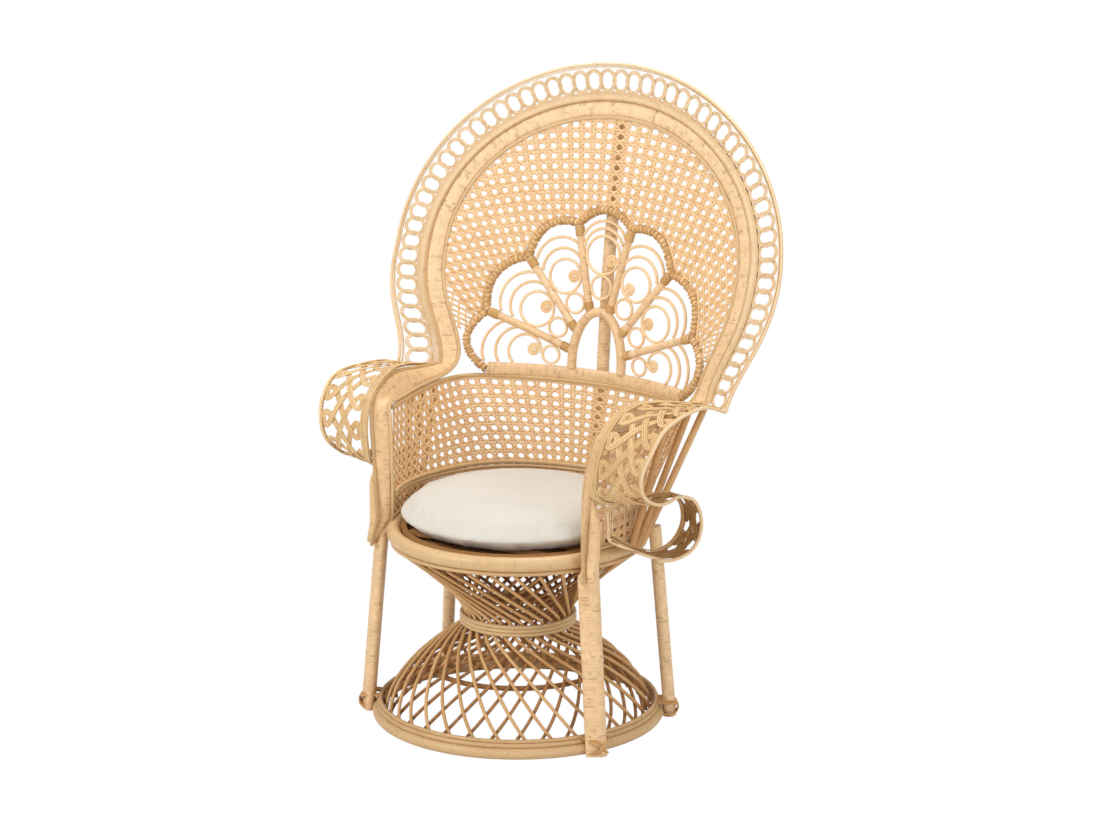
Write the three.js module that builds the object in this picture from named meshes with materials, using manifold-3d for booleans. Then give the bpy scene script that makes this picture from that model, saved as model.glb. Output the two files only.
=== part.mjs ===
// A peacock chair of rattan cane: an hourglass base of crossing rods between a floor ring and a
// seat hoop, a low caned gallery round the seat, a tall arched back with a pierced border and a
// fan of seven petals, and two woven wings that roll over the arms. Millimetres, +Z up, facing -Y.
import * as THREE from 'three';
import { mergeVertices } from 'three/addons/utils/BufferGeometryUtils.js';
import Module from 'manifold-3d';

const wasm = await Module();
wasm.setup();

// Driving dimensions.
const fit = 0.3; // gap between canes that touch
const slack = 1.9; // room inside a hoop whose cane is bent in flats
// How many sides a cane's section has.
const facet = { roundSides: 8, middleSides: 6, lowSides: 5, squareSides: 4, slimSides: 3 };
const halfSideShare = 0.5; // turns a section so that it lies on a flat
// How many straight lengths each curve is cut into.
const cuts = {
  railCount: 26, hubCount: 12, hubArcCount: 8, scallopCount: 8, plinthCount: 12, spokeCount: 2,
  arcCount: 5, ringCount: 12, smallRingCount: 8, sideRingCount: 8, coilCount: 14, postCount: 10,
  frontLegCount: 2, poleCount: 1, knotRoundCount: 7, knotTallCount: 4,
};
const rod = { radius: 4, count: 32, twistAngle: 53, neckInsetShare: 1.5 };
const base = { radius: 317, cane: 13, binder: 6, topBinder: 5, step: 3, facets: 32 };
const waist = { radius: 127, height: 231, thickness: 4.5, halfHeight: 13, neck: 17, facets: 32 };
const bell = { bulgeShare: 1.75, hoopSlackShare: 4, hoopHeight: 125, hoopCane: 6 };
const seat = { radius: 277, cane: 17, height: 429, underCane: 6, innerCane: 8, facets: 32, slats: 5 };
const slat = { width: 24, thickness: 7 };
const cushion = { radius: 270, thickness: 64, crown: 13, roll: 20, drawIn: 5, facets: 28 };
const leg = { radius: 15, companion: 6, frontAngle: 26, rearAngle: 28, frontTop: 522, sides: 8 };
const lashing = { radius: 26, height: 22 };
const gallery = {
  rail: 695, railCane: 6, footCane: 5, radius: 282, halfWidth: 325, reach: 336, sheet: 3,
  columns: 19, rows: 4, openShare: 0.33, frontAngle: 27.5, bowShare: 3, trimShare: 1.5,
};
const back = {
  halfWidth: 431, centreHeight: 990, rise: 355, shoulder: 722, shoulderIn: 70,
  railDepth: 336, midDepth: 366, topDepth: 456, railCurl: 238, midCurl: 110, topCurl: 118,
  curlReach: 495, railHeight: 700, midHeight: 1000, topHeight: 1420, sideShare: 0.145,
};
const band = { width: 50, thickness: 6, bead: 5 };
const border = {
  width: 75, sheet: 4, cells: 56, leanShare: 0.3, openShare: 0.27, tallShare: 0.3, slackShare: 1.5,
};
const rim = { cane: 4 };
const webbing = { sheet: 3, rows: 3, openShare: 0.33, endAngle: 79 };
const post = { radius: 15, top: 1330 };
const fan = {
  hubHeight: 742, plinthHalf: 252, plinthTop: 728, plinthThickness: 9,
  hubHalfWidth: 66, hubRise: 120, hubCane: 11, spokeCane: 9, scallopCane: 8, thinCane: 3.5,
  innerRadius: 292, middleRadius: 299, outerRadius: 324, footRadius: 264, lobe: 28, sideLobe: 35,
  coilRadius: 17, coilCane: 2.3, coilTurns: 2.2, coilEye: 3, overlap: 3,
};
const arm = { spread: 330, reach: 160, height: 750 };
const wing = { sheet: 4, rows: 2, openShare: 0.3, wideShare: 1.3, startShare: 0.012 };
const strut = { radius: 8, angles: [-2, 2.6, 7.5] };

// From the middle of a cane bent in flats to one of its flat sides.
const flat = (radius, sides) => radius * Math.cos(Math.PI / sides);

const seatTop = seat.height + flat(seat.cane, facet.roundSides);
const galleryBottom = seatTop + gallery.footCane + fit;
const plinthBottom = gallery.rail + gallery.railCane + fit;

// Angles of the spokes between petals, in degrees from straight up, and what follows them.
const spokeAngles = [-69.5, -39.3, -12.5, 12.5, 39.3, 69.5];
const petalFootAngle = 96.5;
const arcStepAngle = 0.02;
const sideAxisAngle = 85;
const circleShares = [0.556, 0.6, 0.664, 0.772, 0.664, 0.6, 0.556];
const coilAngles = [165, 130, 115, 118, -150, -150, -165];

const degrees = Math.PI / 180;
const vec = (x, y, z) => new THREE.Vector3(x, y, z);

const cane = new THREE.MeshStandardMaterial({ color: 0xdcb27c, roughness: 0.55, metalness: 0 });
const wrapped = new THREE.MeshStandardMaterial({ color: 0xe6c290, roughness: 0.5, metalness: 0 });
const dark = new THREE.MeshStandardMaterial({ color: 0xc28f55, roughness: 0.6, metalness: 0 });
const pale = new THREE.MeshStandardMaterial({ color: 0xecd0a6, roughness: 0.6, metalness: 0 });
const linen = new THREE.MeshStandardMaterial({ color: 0xe9e0d4, roughness: 0.9, metalness: 0 });

const chair = new THREE.Group();

function add(name, geometry, material) {
  const mesh = new THREE.Mesh(geometry, material);
  mesh.name = name;
  chair.add(mesh);
}

// Shared vertices only, so that a closed geometry is a closed solid.
function weld(geometry) {
  const bare = geometry.clone();
  bare.deleteAttribute('normal');
  bare.deleteAttribute('uv');
  return mergeVertices(bare, 1e-4);
}

function toSolid(geometry) {
  const welded = weld(geometry);
  const vertProperties = Float32Array.from(welded.attributes.position.array);
  const triVerts = Uint32Array.from(welded.index.array);
  return new wasm.Manifold(new wasm.Mesh({ numProp: 3, vertProperties, triVerts }));
}

function toGeometry(solid) {
  const mesh = solid.getMesh();
  const geometry = new THREE.BufferGeometry();
  geometry.setAttribute('position', new THREE.BufferAttribute(mesh.vertProperties, 3));
  geometry.setIndex(new THREE.BufferAttribute(mesh.triVerts, 1));
  return geometry;
}

function fuse(geometries) {
  let whole = toSolid(geometries[0]);
  for (const geometry of geometries.slice(1)) whole = whole.add(toSolid(geometry));
  return toGeometry(whole);
}

// A curve given by a function of its share, 0 at one end and 1 at the other, whose stations are
// even in that share, so that pieces side by side bend at the same places.
class Path extends THREE.Curve {
  constructor(place) {
    super();
    this.place = place;
  }

  getPoint(share, target = new THREE.Vector3()) {
    return target.copy(this.place(share));
  }

  getPointAt(share, target) {
    return this.getPoint(share, target);
  }

  getTangentAt(share, target) {
    return this.getTangent(share, target);
  }
}

// A run of straight lengths through points, with a station at each.
function straights(points) {
  const last = points.length - 1;
  return new Path((share) => {
    const at = Math.min(Math.floor(share * last), last - 1);
    return points[at].clone().lerp(points[at + 1], share * last - at);
  });
}

function through(points) {
  return new THREE.CatmullRomCurve3(points, false, 'centripetal');
}

// The radius of a hoop bent in flats, in a direction.
function hoopReach(radius, facets, angle) {
  const step = (2 * Math.PI) / facets;
  const turn = ((angle % step) + step) % step - step / 2;
  return flat(radius, facets) / Math.cos(turn);
}

function polygon(radius, sides, turn = 0) {
  return Array.from({ length: sides }, (_, i) => {
    const angle = ((i + turn) / sides) * 2 * Math.PI;
    return new THREE.Vector2(radius * Math.cos(angle), radius * Math.sin(angle));
  });
}

// A round cane along a curve.
function caneAlong(curve, radius, count, sides = facet.lowSides) {
  const section = new THREE.Shape(polygon(radius, sides));
  return new THREE.ExtrudeGeometry(section, { steps: count, bevelEnabled: false, extrudePath: curve });
}

// A hoop about the Z axis, closed on itself.
function hoop(radius, height, section, facets) {
  const profile = section.map((point) => new THREE.Vector2(radius + point.x, height + point.y));
  profile.push(profile[0].clone());
  const ring = new THREE.LatheGeometry(profile, facets);
  ring.rotateX(Math.PI / 2);
  return ring;
}

// A flat strip between two edges, the same thickness all along.
function strip(edgeA, edgeB, thickness, steps) {
  const positions = [];
  const index = [];
  for (let i = 0; i <= steps; i += 1) {
    const share = i / steps;
    const a = edgeA(share);
    const b = edgeB(share);
    const before = edgeA(Math.max(share - 0.5 / steps, 0));
    const after = edgeA(Math.min(share + 0.5 / steps, 1));
    const normal = after.sub(before).cross(b.clone().sub(a)).normalize();
    normal.multiplyScalar(thickness / 2);
    for (const corner of [a.clone().add(normal), b.clone().add(normal),
      b.clone().sub(normal), a.clone().sub(normal)]) {
      positions.push(corner.x, corner.y, corner.z);
    }
  }
  for (let i = 0; i < steps; i += 1) {
    for (let k = 0; k < 4; k += 1) {
      const here = i * 4 + k;
      const next = i * 4 + ((k + 1) % 4);
      index.push(here, next, here + 4, next, next + 4, here + 4);
    }
  }
  const end = steps * 4;
  index.push(0, 2, 1, 0, 3, 2, end, end + 1, end + 2, end, end + 2, end + 3);
  const geometry = new THREE.BufferGeometry();
  geometry.setAttribute('position', new THREE.Float32BufferAttribute(positions, 3));
  geometry.setIndex(index);
  return outward(geometry);
}

function signedVolume(geometry) {
  const p = geometry.attributes.position;
  const order = geometry.index.array;
  const a = new THREE.Vector3();
  const b = new THREE.Vector3();
  const c = new THREE.Vector3();
  let sum = 0;
  for (let i = 0; i < order.length; i += 3) {
    a.fromBufferAttribute(p, order[i]);
    b.fromBufferAttribute(p, order[i + 1]);
    c.fromBufferAttribute(p, order[i + 2]);
    sum += a.dot(b.cross(c)) / 6;
  }
  return sum;
}

// Faces turned so that they point out of the solid.
function outward(geometry) {
  const welded = geometry.index ? geometry : weld(geometry);
  if (signedVolume(welded) > 0) return welded;
  const order = welded.index.array;
  for (let i = 0; i < order.length; i += 3) {
    const swap = order[i + 1];
    order[i + 1] = order[i + 2];
    order[i + 2] = swap;
  }
  return welded;
}

// A sheet of cells, each with a four-cornered opening, so that it follows any curved surface.
// The place function takes the column and row, and the distance off the middle of the sheet.
function pierced(columns, rows, thickness, place, opening, open = () => true) {
  const positions = [];
  const index = [];
  const half = thickness / 2;
  const point = (column, row) => {
    for (const off of [half, -half]) positions.push(...place(column, row, off).toArray());
    return positions.length / 3 - 2;
  };
  const quad = (a, b, c, d) => index.push(a, b, c, a, c, d);
  const nodes = [];
  for (let i = 0; i <= columns; i += 1) {
    nodes.push(Array.from({ length: rows + 1 }, (_, j) => point(i, j)));
  }
  for (let i = 0; i < columns; i += 1) {
    for (let j = 0; j < rows; j += 1) {
      const around = [nodes[i][j], nodes[i + 1][j], nodes[i + 1][j + 1], nodes[i][j + 1]];
      if (!open(i, j)) {
        const [a, b, c, d] = around;
        quad(a, b, c, d);
        quad(d + 1, c + 1, b + 1, a + 1);
        continue;
      }
      const hole = opening.map(([x, y]) => point(i + 0.5 + x, j + 0.5 + y));
      for (let k = 0; k < 4; k += 1) {
        const [a, b, c, d] = [around[k], around[(k + 1) % 4], hole[(k + 1) % 4], hole[k]];
        index.push(a, b, d, b, c, d, a + 1, d + 1, b + 1, b + 1, d + 1, c + 1);
        quad(d, c, c + 1, d + 1);
      }
    }
  }
  const wall = (a, b) => quad(a, a + 1, b + 1, b);
  for (let i = 0; i < columns; i += 1) {
    wall(nodes[i][0], nodes[i + 1][0]);
    wall(nodes[i + 1][rows], nodes[i][rows]);
  }
  for (let j = 0; j < rows; j += 1) {
    wall(nodes[columns][j], nodes[columns][j + 1]);
    wall(nodes[0][j + 1], nodes[0][j]);
  }
  const geometry = new THREE.BufferGeometry();
  geometry.setAttribute('position', new THREE.Float32BufferAttribute(positions, 3));
  geometry.setIndex(index);
  return outward(geometry);
}

const diamond = (x, y) => [[0, -y], [x, 0], [0, y], [-x, 0]];
const staggered = (i, j) => (i + j) % 2 === 0;
const upright = (x, y) => [[-x, -y], [x, -y], [x, y], [-x, y]];

function mirrored(geometry) {
  const copy = weld(geometry);
  copy.scale(-1, 1, 1);
  return outward(copy);
}

// The value at a height, on the parabola through three named values.
function parabola(z, low, middle, high) {
  const [z0, z1, z2] = [back.railHeight, back.midHeight, back.topHeight];
  return (low * (z - z1) * (z - z2)) / ((z0 - z1) * (z0 - z2))
    + (middle * (z - z0) * (z - z2)) / ((z1 - z0) * (z1 - z2))
    + (high * (z - z0) * (z - z1)) / ((z2 - z0) * (z2 - z1));
}

// The back's sheet: it leans away with height, and its sides curl forward, most at the rail.
function sheetDepth(x, z) {
  const depth = parabola(z, back.railDepth, back.midDepth, back.topDepth);
  const curl = parabola(z, back.railCurl, back.midCurl, back.topCurl);
  return depth - curl * (x / back.curlReach) ** 2;
}

// A point of the sheet, moved off it by a distance towards the back.
function onSheet(x, z, off = 0) {
  return vec(x, sheetDepth(x, z) + off, z);
}

// The arch seen from the front: half an ellipse on two drawn-in sides. Inset runs inwards.
function archPlane(share, inset) {
  const side = back.sideShare;
  const edge = share < 0.5 ? -1 : 1;
  const fromEnd = Math.min(share, 1 - share);
  if (fromEnd >= side) {
    const angle = Math.PI * (1 - (share - side) / (1 - 2 * side));
    return new THREE.Vector2((back.halfWidth - inset) * Math.cos(angle),
      back.centreHeight + (back.rise - inset) * Math.sin(angle));
  }
  const z = back.shoulder + (back.centreHeight - back.shoulder) * (fromEnd / side);
  return new THREE.Vector2(edge * archHalfWidth(z, inset), z);
}

function archHalfWidth(z, inset) {
  const drop = (back.centreHeight - z) / (back.centreHeight - back.shoulder);
  const drawn = 0.5 - 0.5 * Math.cos(Math.PI * Math.max(drop, 0) ** 1.3);
  return back.halfWidth - inset - back.shoulderIn * drawn;
}

// Outside the band the border leans forward less than the sheet would, most so at the top.
function archPoint(share, inset, off = 0) {
  const spot = archPlane(share, inset);
  if (inset >= 0) return onSheet(spot.x, spot.y, off);
  const edge = archPlane(share, 0);
  const atEdge = sheetDepth(edge.x, edge.y);
  const drop = Math.max(back.centreHeight - spot.y, 0) / (back.centreHeight - back.shoulder);
  const lean = border.leanShare + (1 - border.leanShare) * Math.min(drop, 1);
  return vec(spot.x, atEdge + lean * (sheetDepth(spot.x, spot.y) - atEdge) + off, spot.y);
}

// The gallery's plan: an arc of a circle at the seat, and a wider, squarer bow at the rail, given
// on its right half from the arm's front end to the middle of the back.
const bowShares = [[0.834, -0.315], [0.862, -0.19], [0.892, -0.06], [0.928, 0.09], [0.954, 0.238],
  [0.975, 0.4], [0.981, 0.55], [0.95, 0.69], [0.86, 0.79], [0.7, 0.86], [0.5, 0.922],
  [0.25, 0.977], [0, 0.998]];
const bowPoints = bowShares.map(([x, y]) => vec(x * gallery.halfWidth, y * gallery.reach, 0));
const bowLeft = bowPoints.slice(0, -1).map((spot) => vec(-spot.x, spot.y, 0));
const bow = through([...bowLeft, ...bowPoints.reverse()]);

function galleryFoot(share) {
  const turn = gallery.frontAngle;
  const angle = (180 + turn - (180 + 2 * turn) * share) * degrees;
  return vec(gallery.radius * Math.cos(angle), gallery.radius * Math.sin(angle), galleryBottom);
}

function galleryTop(share) {
  return bow.getPointAt(share).setZ(gallery.rail);
}

// The wall rises straight behind, and bows out late at the front ends.
function galleryWall(share, z) {
  const climb = Math.max((z - galleryBottom) / (gallery.rail - galleryBottom), 0);
  const late = climb ** (1 + gallery.bowShare * Math.abs(2 * share - 1) ** 3);
  return galleryFoot(share).lerp(galleryTop(share), late).setZ(z);
}

// Base: the floor ring with its two binder hoops.
const flatFoot = polygon(base.cane, facet.roundSides, halfSideShare);
const baseMiddle = flat(base.cane, facet.roundSides);
add('base_hoop', hoop(base.radius, baseMiddle, flatFoot, base.facets), cane);
const middleHeight = 2 * baseMiddle + fit + flat(base.binder, facet.middleSides);
add('base_middle_hoop', hoop(base.radius - base.step, middleHeight,
  polygon(base.binder, facet.middleSides), base.facets), cane);
const topHeight = middleHeight + flat(base.binder, facet.middleSides)
  + flat(base.topBinder, facet.squareSides) + fit;
add('base_top_hoop', hoop(base.radius - 2 * base.step, topHeight,
  polygon(base.topBinder, facet.squareSides, halfSideShare), base.facets), cane);

// The crossing rods. Each is straight seen from above, from the floor ring to the waist and on to
// the seat, and follows the bell's and the basket's profile. A thin collar at the waist carries
// every rod of a layer, so that a layer is one body.
const neckRadius = waist.radius - waist.thickness - rod.radius;
const neckLow = waist.height - waist.neck;
const bellFoot = flat(base.radius - baseMiddle, base.facets) - rod.radius - 2 * fit;
const layerStep = 2 * rod.radius + slack;
const rodTop = {
  radius: seat.radius - 2 * rod.radius,
  height: seat.height - seat.cane - 2 * rod.radius - layerStep / 2,
};
const collarHalf = waist.halfHeight + fit;
const bellShares = [0.3, 0.64, 1];
const basketShares = [1];

function bellHeight(radius) {
  const reach = Math.min(Math.max((radius - neckRadius) / (bellFoot - neckRadius), 0), 1);
  return baseMiddle + (neckLow - baseMiddle) * (1 - reach) ** (1 / bell.bulgeShare);
}

// A place on an outer rod: share 0 at the waist, 1 at its far end, below or above.
function rodPoint(start, turn, share, below) {
  const far = below ? bellFoot : rodTop.radius;
  const from = vec(Math.cos(start), Math.sin(start), 0).multiplyScalar(neckRadius);
  const to = vec(Math.cos(start + turn), Math.sin(start + turn), 0).multiplyScalar(far);
  const spot = from.lerp(to, share);
  const rise = (rodTop.height - waist.height - collarHalf) * share;
  const height = below ? bellHeight(Math.hypot(spot.x, spot.y)) : waist.height + collarHalf + rise;
  return spot.setZ(height);
}

// The square section of a rod, set in from the outer surface by a distance square to it.
function rodSection(start, turn, inset, share, below) {
  const nudge = 0.01;
  const spot = rodPoint(start, turn, share, below);
  const before = rodPoint(start, turn, share - nudge, below);
  const along = spot.clone().sub(before).multiplyScalar(below ? -1 : 1).normalize();
  const around = vec(-spot.y, spot.x, 0).normalize();
  const outer = around.cross(along).normalize();
  const side = along.cross(outer).setLength(rod.radius);
  spot.addScaledVector(outer, -inset);
  outer.multiplyScalar(rod.radius);
  return [[-1, -1], [1, -1], [1, 1], [-1, 1]].map(([u, v]) => spot.clone()
    .addScaledVector(outer, u).addScaledVector(side, v));
}

function rodLayer(turnWay, inset) {
  const positions = [];
  const index = [];
  const ring = (points) => {
    points.forEach((point) => positions.push(point.x, point.y, point.z));
    return positions.length / 3 - 4;
  };
  const quad = (a, b, c, d) => index.push(a, b, c, a, c, d);
  const radius = neckRadius - rod.neckInsetShare * inset;
  const halfTurn = rod.radius / radius;
  const edges = [];
  for (let i = 0; i < rod.count; i += 1) {
    const start = ((i + 0.5) / rod.count) * 2 * Math.PI;
    for (const angle of [start - halfTurn, start + halfTurn]) {
      const at = (r, z) => vec(r * Math.cos(angle), r * Math.sin(angle), z);
      const [low, high] = [waist.height - collarHalf, waist.height + collarHalf];
      edges.push(ring([at(radius - rod.radius, low), at(radius + rod.radius, low),
        at(radius + rod.radius, high), at(radius - rod.radius, high)]));
    }
  }
  edges.forEach((a, i) => {
    const b = edges[(i + 1) % edges.length];
    quad(a + 1, b + 1, b + 2, a + 2);
    quad(a, a + 3, b + 3, b);
    if (i % 2 === 1) {
      quad(a + 3, a + 2, b + 2, b + 3);
      quad(a, b, b + 1, a + 1);
    }
  });
  for (let i = 0; i < rod.count; i += 1) {
    const start = ((i + 0.5) / rod.count) * 2 * Math.PI;
    const [a, b] = [edges[2 * i], edges[2 * i + 1]];
    for (const below of [true, false]) {
      let last = below ? [a, a + 1, b + 1, b] : [a + 3, a + 2, b + 2, b + 3];
      const turn = (below ? -1 : 1) * turnWay * rod.twistAngle * degrees;
      for (const share of below ? bellShares : basketShares) {
        const first = ring(rodSection(start, turn, inset, share, below));
        const next = [first, first + 1, first + 2, first + 3];
        for (let k = 0; k < 4; k += 1) {
          const m = (k + 1) % 4;
          if (below) quad(last[k], next[k], next[m], last[m]);
          else quad(last[k], last[m], next[m], next[k]);
        }
        last = next;
      }
      if (below) quad(last[0], last[3], last[2], last[1]);
      else quad(last[0], last[1], last[2], last[3]);
    }
  }
  const geometry = new THREE.BufferGeometry();
  geometry.setAttribute('position', new THREE.Float32BufferAttribute(positions, 3));
  geometry.setIndex(index);
  return outward(geometry);
}
add('lattice_outer', rodLayer(1, 0), cane);
add('lattice_inner', rodLayer(-1, layerStep), dark);

// Three turns of cane bind the waist; one hoop stiffens the bell inside, one ends the basket.
const turnHeight = (2 * waist.halfHeight) / 3;
const waistInside = (neckRadius + rod.radius + fit) / Math.cos(Math.PI / waist.facets);
const turnSection = [new THREE.Vector2(0, -waist.halfHeight)];
for (let i = 0; i < 3; i += 1) {
  const low = -waist.halfHeight + i * turnHeight;
  turnSection.push(new THREE.Vector2(waist.thickness, low + turnHeight / 3),
    new THREE.Vector2(waist.thickness, low + (turnHeight * 2) / 3),
    new THREE.Vector2(waist.thickness / 2, low + turnHeight));
}
turnSection.push(new THREE.Vector2(0, waist.halfHeight));
turnSection.splice(9, 1);
add('waist_hoops', hoop(waistInside, waist.height, turnSection, waist.facets), cane);

function bellRadius(z) {
  const drop = 1 - ((z - baseMiddle) / (neckLow - baseMiddle)) ** bell.bulgeShare;
  return neckRadius + (bellFoot - neckRadius) * drop;
}
const stiffener = bellRadius(bell.hoopHeight) - layerStep - rod.radius - bell.hoopCane
  - bell.hoopSlackShare * slack;
const stiffenerSection = polygon(bell.hoopCane, facet.squareSides);
add('skirt_inner_hoop', hoop(stiffener, bell.hoopHeight, stiffenerSection, waist.facets), dark);

// Seat: the thick hoop, the thin hoop that ends the basket under it, and the inner hoop with
// slats that carries the cushion.
const seatSection = polygon(seat.cane, facet.roundSides, halfSideShare);
const seatOutside = seat.radius + flat(seat.cane, facet.roundSides);
add('seat_hoop', hoop(seat.radius, seat.height, seatSection, seat.facets), wrapped);
const underRadius = rodTop.radius + rod.radius + seat.underCane + slack;
const underHeight = seat.height - flat(seat.cane, facet.roundSides)
  - flat(seat.underCane, facet.squareSides) - fit;
const underSection = polygon(seat.underCane, facet.squareSides, halfSideShare);
add('seat_under_hoop', hoop(underRadius, underHeight, underSection, seat.facets), cane);
const innerRadius = seat.radius - flat(seat.cane, facet.roundSides)
  - flat(seat.innerCane, facet.squareSides) - fit;
const innerHeight = seatTop - flat(seat.innerCane, facet.squareSides);
function seatDeck() {
  const ring = polygon(seat.innerCane, facet.squareSides, halfSideShare);
  const pieces = [hoop(innerRadius, innerHeight, ring, seat.facets)];
  const pitch = (2 * innerRadius) / (seat.slats + 1);
  for (let i = 1; i <= seat.slats; i += 1) {
    const y = -innerRadius + i * pitch;
    const edge = Math.abs(y) + slat.width / 2;
    const length = 2 * Math.sqrt(innerRadius ** 2 - edge ** 2);
    const board = new THREE.BoxGeometry(length, slat.width, slat.thickness);
    board.translate(0, y, innerHeight);
    pieces.push(board);
  }
  return fuse(pieces);
}
add('seat_deck', seatDeck(), dark);

const cushionShares = { base: 0.85, lower: [0, 0.4, 0.8], upper: [0.2, 0.6, 1], crown: [0.55, 0] };

// The loose round cushion: crowned top, rolled edge, sides drawn in at the seam.
function cushionBody() {
  const half = cushion.thickness / 2;
  const flat = cushion.radius - cushion.roll;
  const bottom = seatTop + fit;
  const profile = [new THREE.Vector2(0, 0), new THREE.Vector2(flat * cushionShares.base, 0)];
  for (const share of cushionShares.lower) {
    const angle = -Math.PI / 2 + share * (Math.PI / 2);
    profile.push(new THREE.Vector2(flat + cushion.roll * Math.cos(angle),
      cushion.roll + cushion.roll * Math.sin(angle)));
  }
  profile.push(new THREE.Vector2(cushion.radius - cushion.drawIn, half));
  for (const share of cushionShares.upper) {
    const angle = share * (Math.PI / 2);
    profile.push(new THREE.Vector2(flat + cushion.roll * Math.cos(angle),
      cushion.thickness - cushion.roll + cushion.roll * Math.sin(angle)));
  }
  for (const share of cushionShares.crown) {
    const rise = cushion.crown * (1 - share ** 2);
    profile.push(new THREE.Vector2(flat * share, cushion.thickness + rise));
  }
  const body = new THREE.LatheGeometry(profile, cushion.facets);
  body.rotateX(Math.PI / 2);
  body.translate(0, 0, bottom);
  return outward(weld(body));
}
add('seat_cushion', cushionBody(), linen);

// Edges of the arm's band on the right side, from the seat up the front leg, over the arm and
// back to the shoulder. The inner edge follows the gallery, the outer edge stands off it.
const armTopShares = [1, 0.96, 0.92, 0.88, 0.84, 0.8, 0.765];
const armRiseShares = [0, 0.18, 0.5, 0.72, 0.88];
const armOuterShares = [
  [0.818, -1.006, 0.61], [0.83, -1, 0.667], [0.855, -0.956, 0.773], [0.876, -0.9375, 0.853],
  [0.887, -0.918, 0.884], [0.904, -0.86, 0.928], [0.921, -0.75, 0.96], [0.936, -0.53, 0.989],
  [0.958, -0.22, 1.004],
  [1, 0.22, 0.999], [1.045, 0.625, 0.984], [1.073, 1, 0.973],
];
const bandStart = seatTop + band.bead + fit;
const armLift = gallery.railCane + band.bead + fit;

function armPlace([x, y, z]) {
  return vec(x * arm.spread, y * arm.reach, z * arm.height);
}

const innerInset = band.width - band.bead;

function armInnerPoints() {
  const rise = armRiseShares.map((share) => {
    const z = bandStart + (gallery.rail - bandStart) * share;
    return galleryWall(1, z);
  });
  const top = armTopShares.map((share) => galleryTop(share).add(vec(0, 0, armLift)));
  return [...rise, ...top, archPoint(1, innerInset)];
}

const armInner = through(armInnerPoints());
const armOuter = through([...armOuterShares.map(armPlace), archPoint(1, band.bead)]);
const armSteps = armInner.points.length - 1;
const archSteps = border.cells / 2;

// A cane that runs up one arm, round the arch and down the other arm, with a station at each of
// the arm's points.
function aroundPath(arm, inset) {
  const steps = arm.points.length - 1;
  const count = 2 * steps + archSteps;
  const path = new Path((share) => {
    const station = Math.min(share, 1 - share) * count;
    if (station >= steps) return archPoint(1 - (share * count - steps) / archSteps, inset);
    const spot = arm.getPoint(station / steps);
    return share < 0.5 ? spot : vec(-spot.x, spot.y, spot.z);
  });
  return { path, count };
}

function aroundCane(arm, inset, radius) {
  const { path, count } = aroundPath(arm, inset);
  return caneAlong(path, radius, count, facet.squareSides);
}
add('band_inner_bead', aroundCane(armInner, innerInset, band.bead), cane);
add('band_outer_bead', aroundCane(armOuter, band.bead, band.bead), cane);

// The wrapped band lies between its two edge canes.
const bandEdge = band.bead + 2 * fit;
const archEnd = 0.006;
const alongArch = (share) => Math.min(Math.max(share, archEnd), 1 - archEnd);
add('arch_band', strip(
  (share) => archPoint(alongArch(share), innerInset - bandEdge),
  (share) => archPoint(alongArch(share), band.bead + bandEdge),
  band.thickness, archSteps,
), wrapped);

function armBand() {
  const edge = (from, to) => (share) => {
    const station = Math.min(share, 1 - archEnd);
    const spot = from.getPoint(station);
    const along = from.getTangent(station);
    const toward = to.getPoint(station).sub(spot);
    toward.addScaledVector(along, -toward.dot(along));
    return spot.add(toward.setLength(bandEdge));
  };
  return strip(edge(armInner, armOuter), edge(armOuter, armInner), band.thickness, armSteps);
}
const rightBand = armBand();
add('arm_band_right', rightBand, wrapped);
add('arm_band_left', mirrored(rightBand), wrapped);

// Gallery: a rail above, a rail on the seat hoop, and caned webbing between them.
const railTrim = 0.012;
const railPath = new Path((share) => galleryTop(railTrim + share * (1 - 2 * railTrim)));
add('gallery_top_rail', caneAlong(railPath, gallery.railCane, cuts.railCount), cane);
const footPath = new Path((share) => galleryFoot(railTrim + share * (1 - 2 * railTrim)));
add('gallery_foot_rail', caneAlong(footPath, gallery.footCane, cuts.railCount, facet.squareSides), cane);

function galleryWebbing() {
  const low = galleryBottom + gallery.footCane + fit;
  const high = gallery.rail - gallery.railCane - fit;
  const trim = gallery.trimShare * railTrim;
  const place = (column, row, off) => {
    const share = trim + (column / gallery.columns) * (1 - 2 * trim);
    const spot = galleryWall(share, low + (row / gallery.rows) * (high - low));
    return spot.add(vec(spot.x, spot.y, 0).setLength(off));
  };
  return pierced(gallery.columns, gallery.rows, gallery.sheet, place,
    diamond(gallery.openShare, gallery.openShare), staggered);
}
add('gallery_webbing', galleryWebbing(), cane);

// The pierced border outside the band, and the rim cane that ends it.
function borderSheet() {
  const inner = -border.slackShare * slack;
  const outer = rim.cane + slack - border.width;
  const place = (column, row, off) => archPoint(column / border.cells,
    inner + row * (outer - inner), off);
  return pierced(border.cells, 1, border.sheet, place,
    upright(border.openShare, border.tallShare));
}
add('border_weave', borderSheet(), pale);

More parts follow.
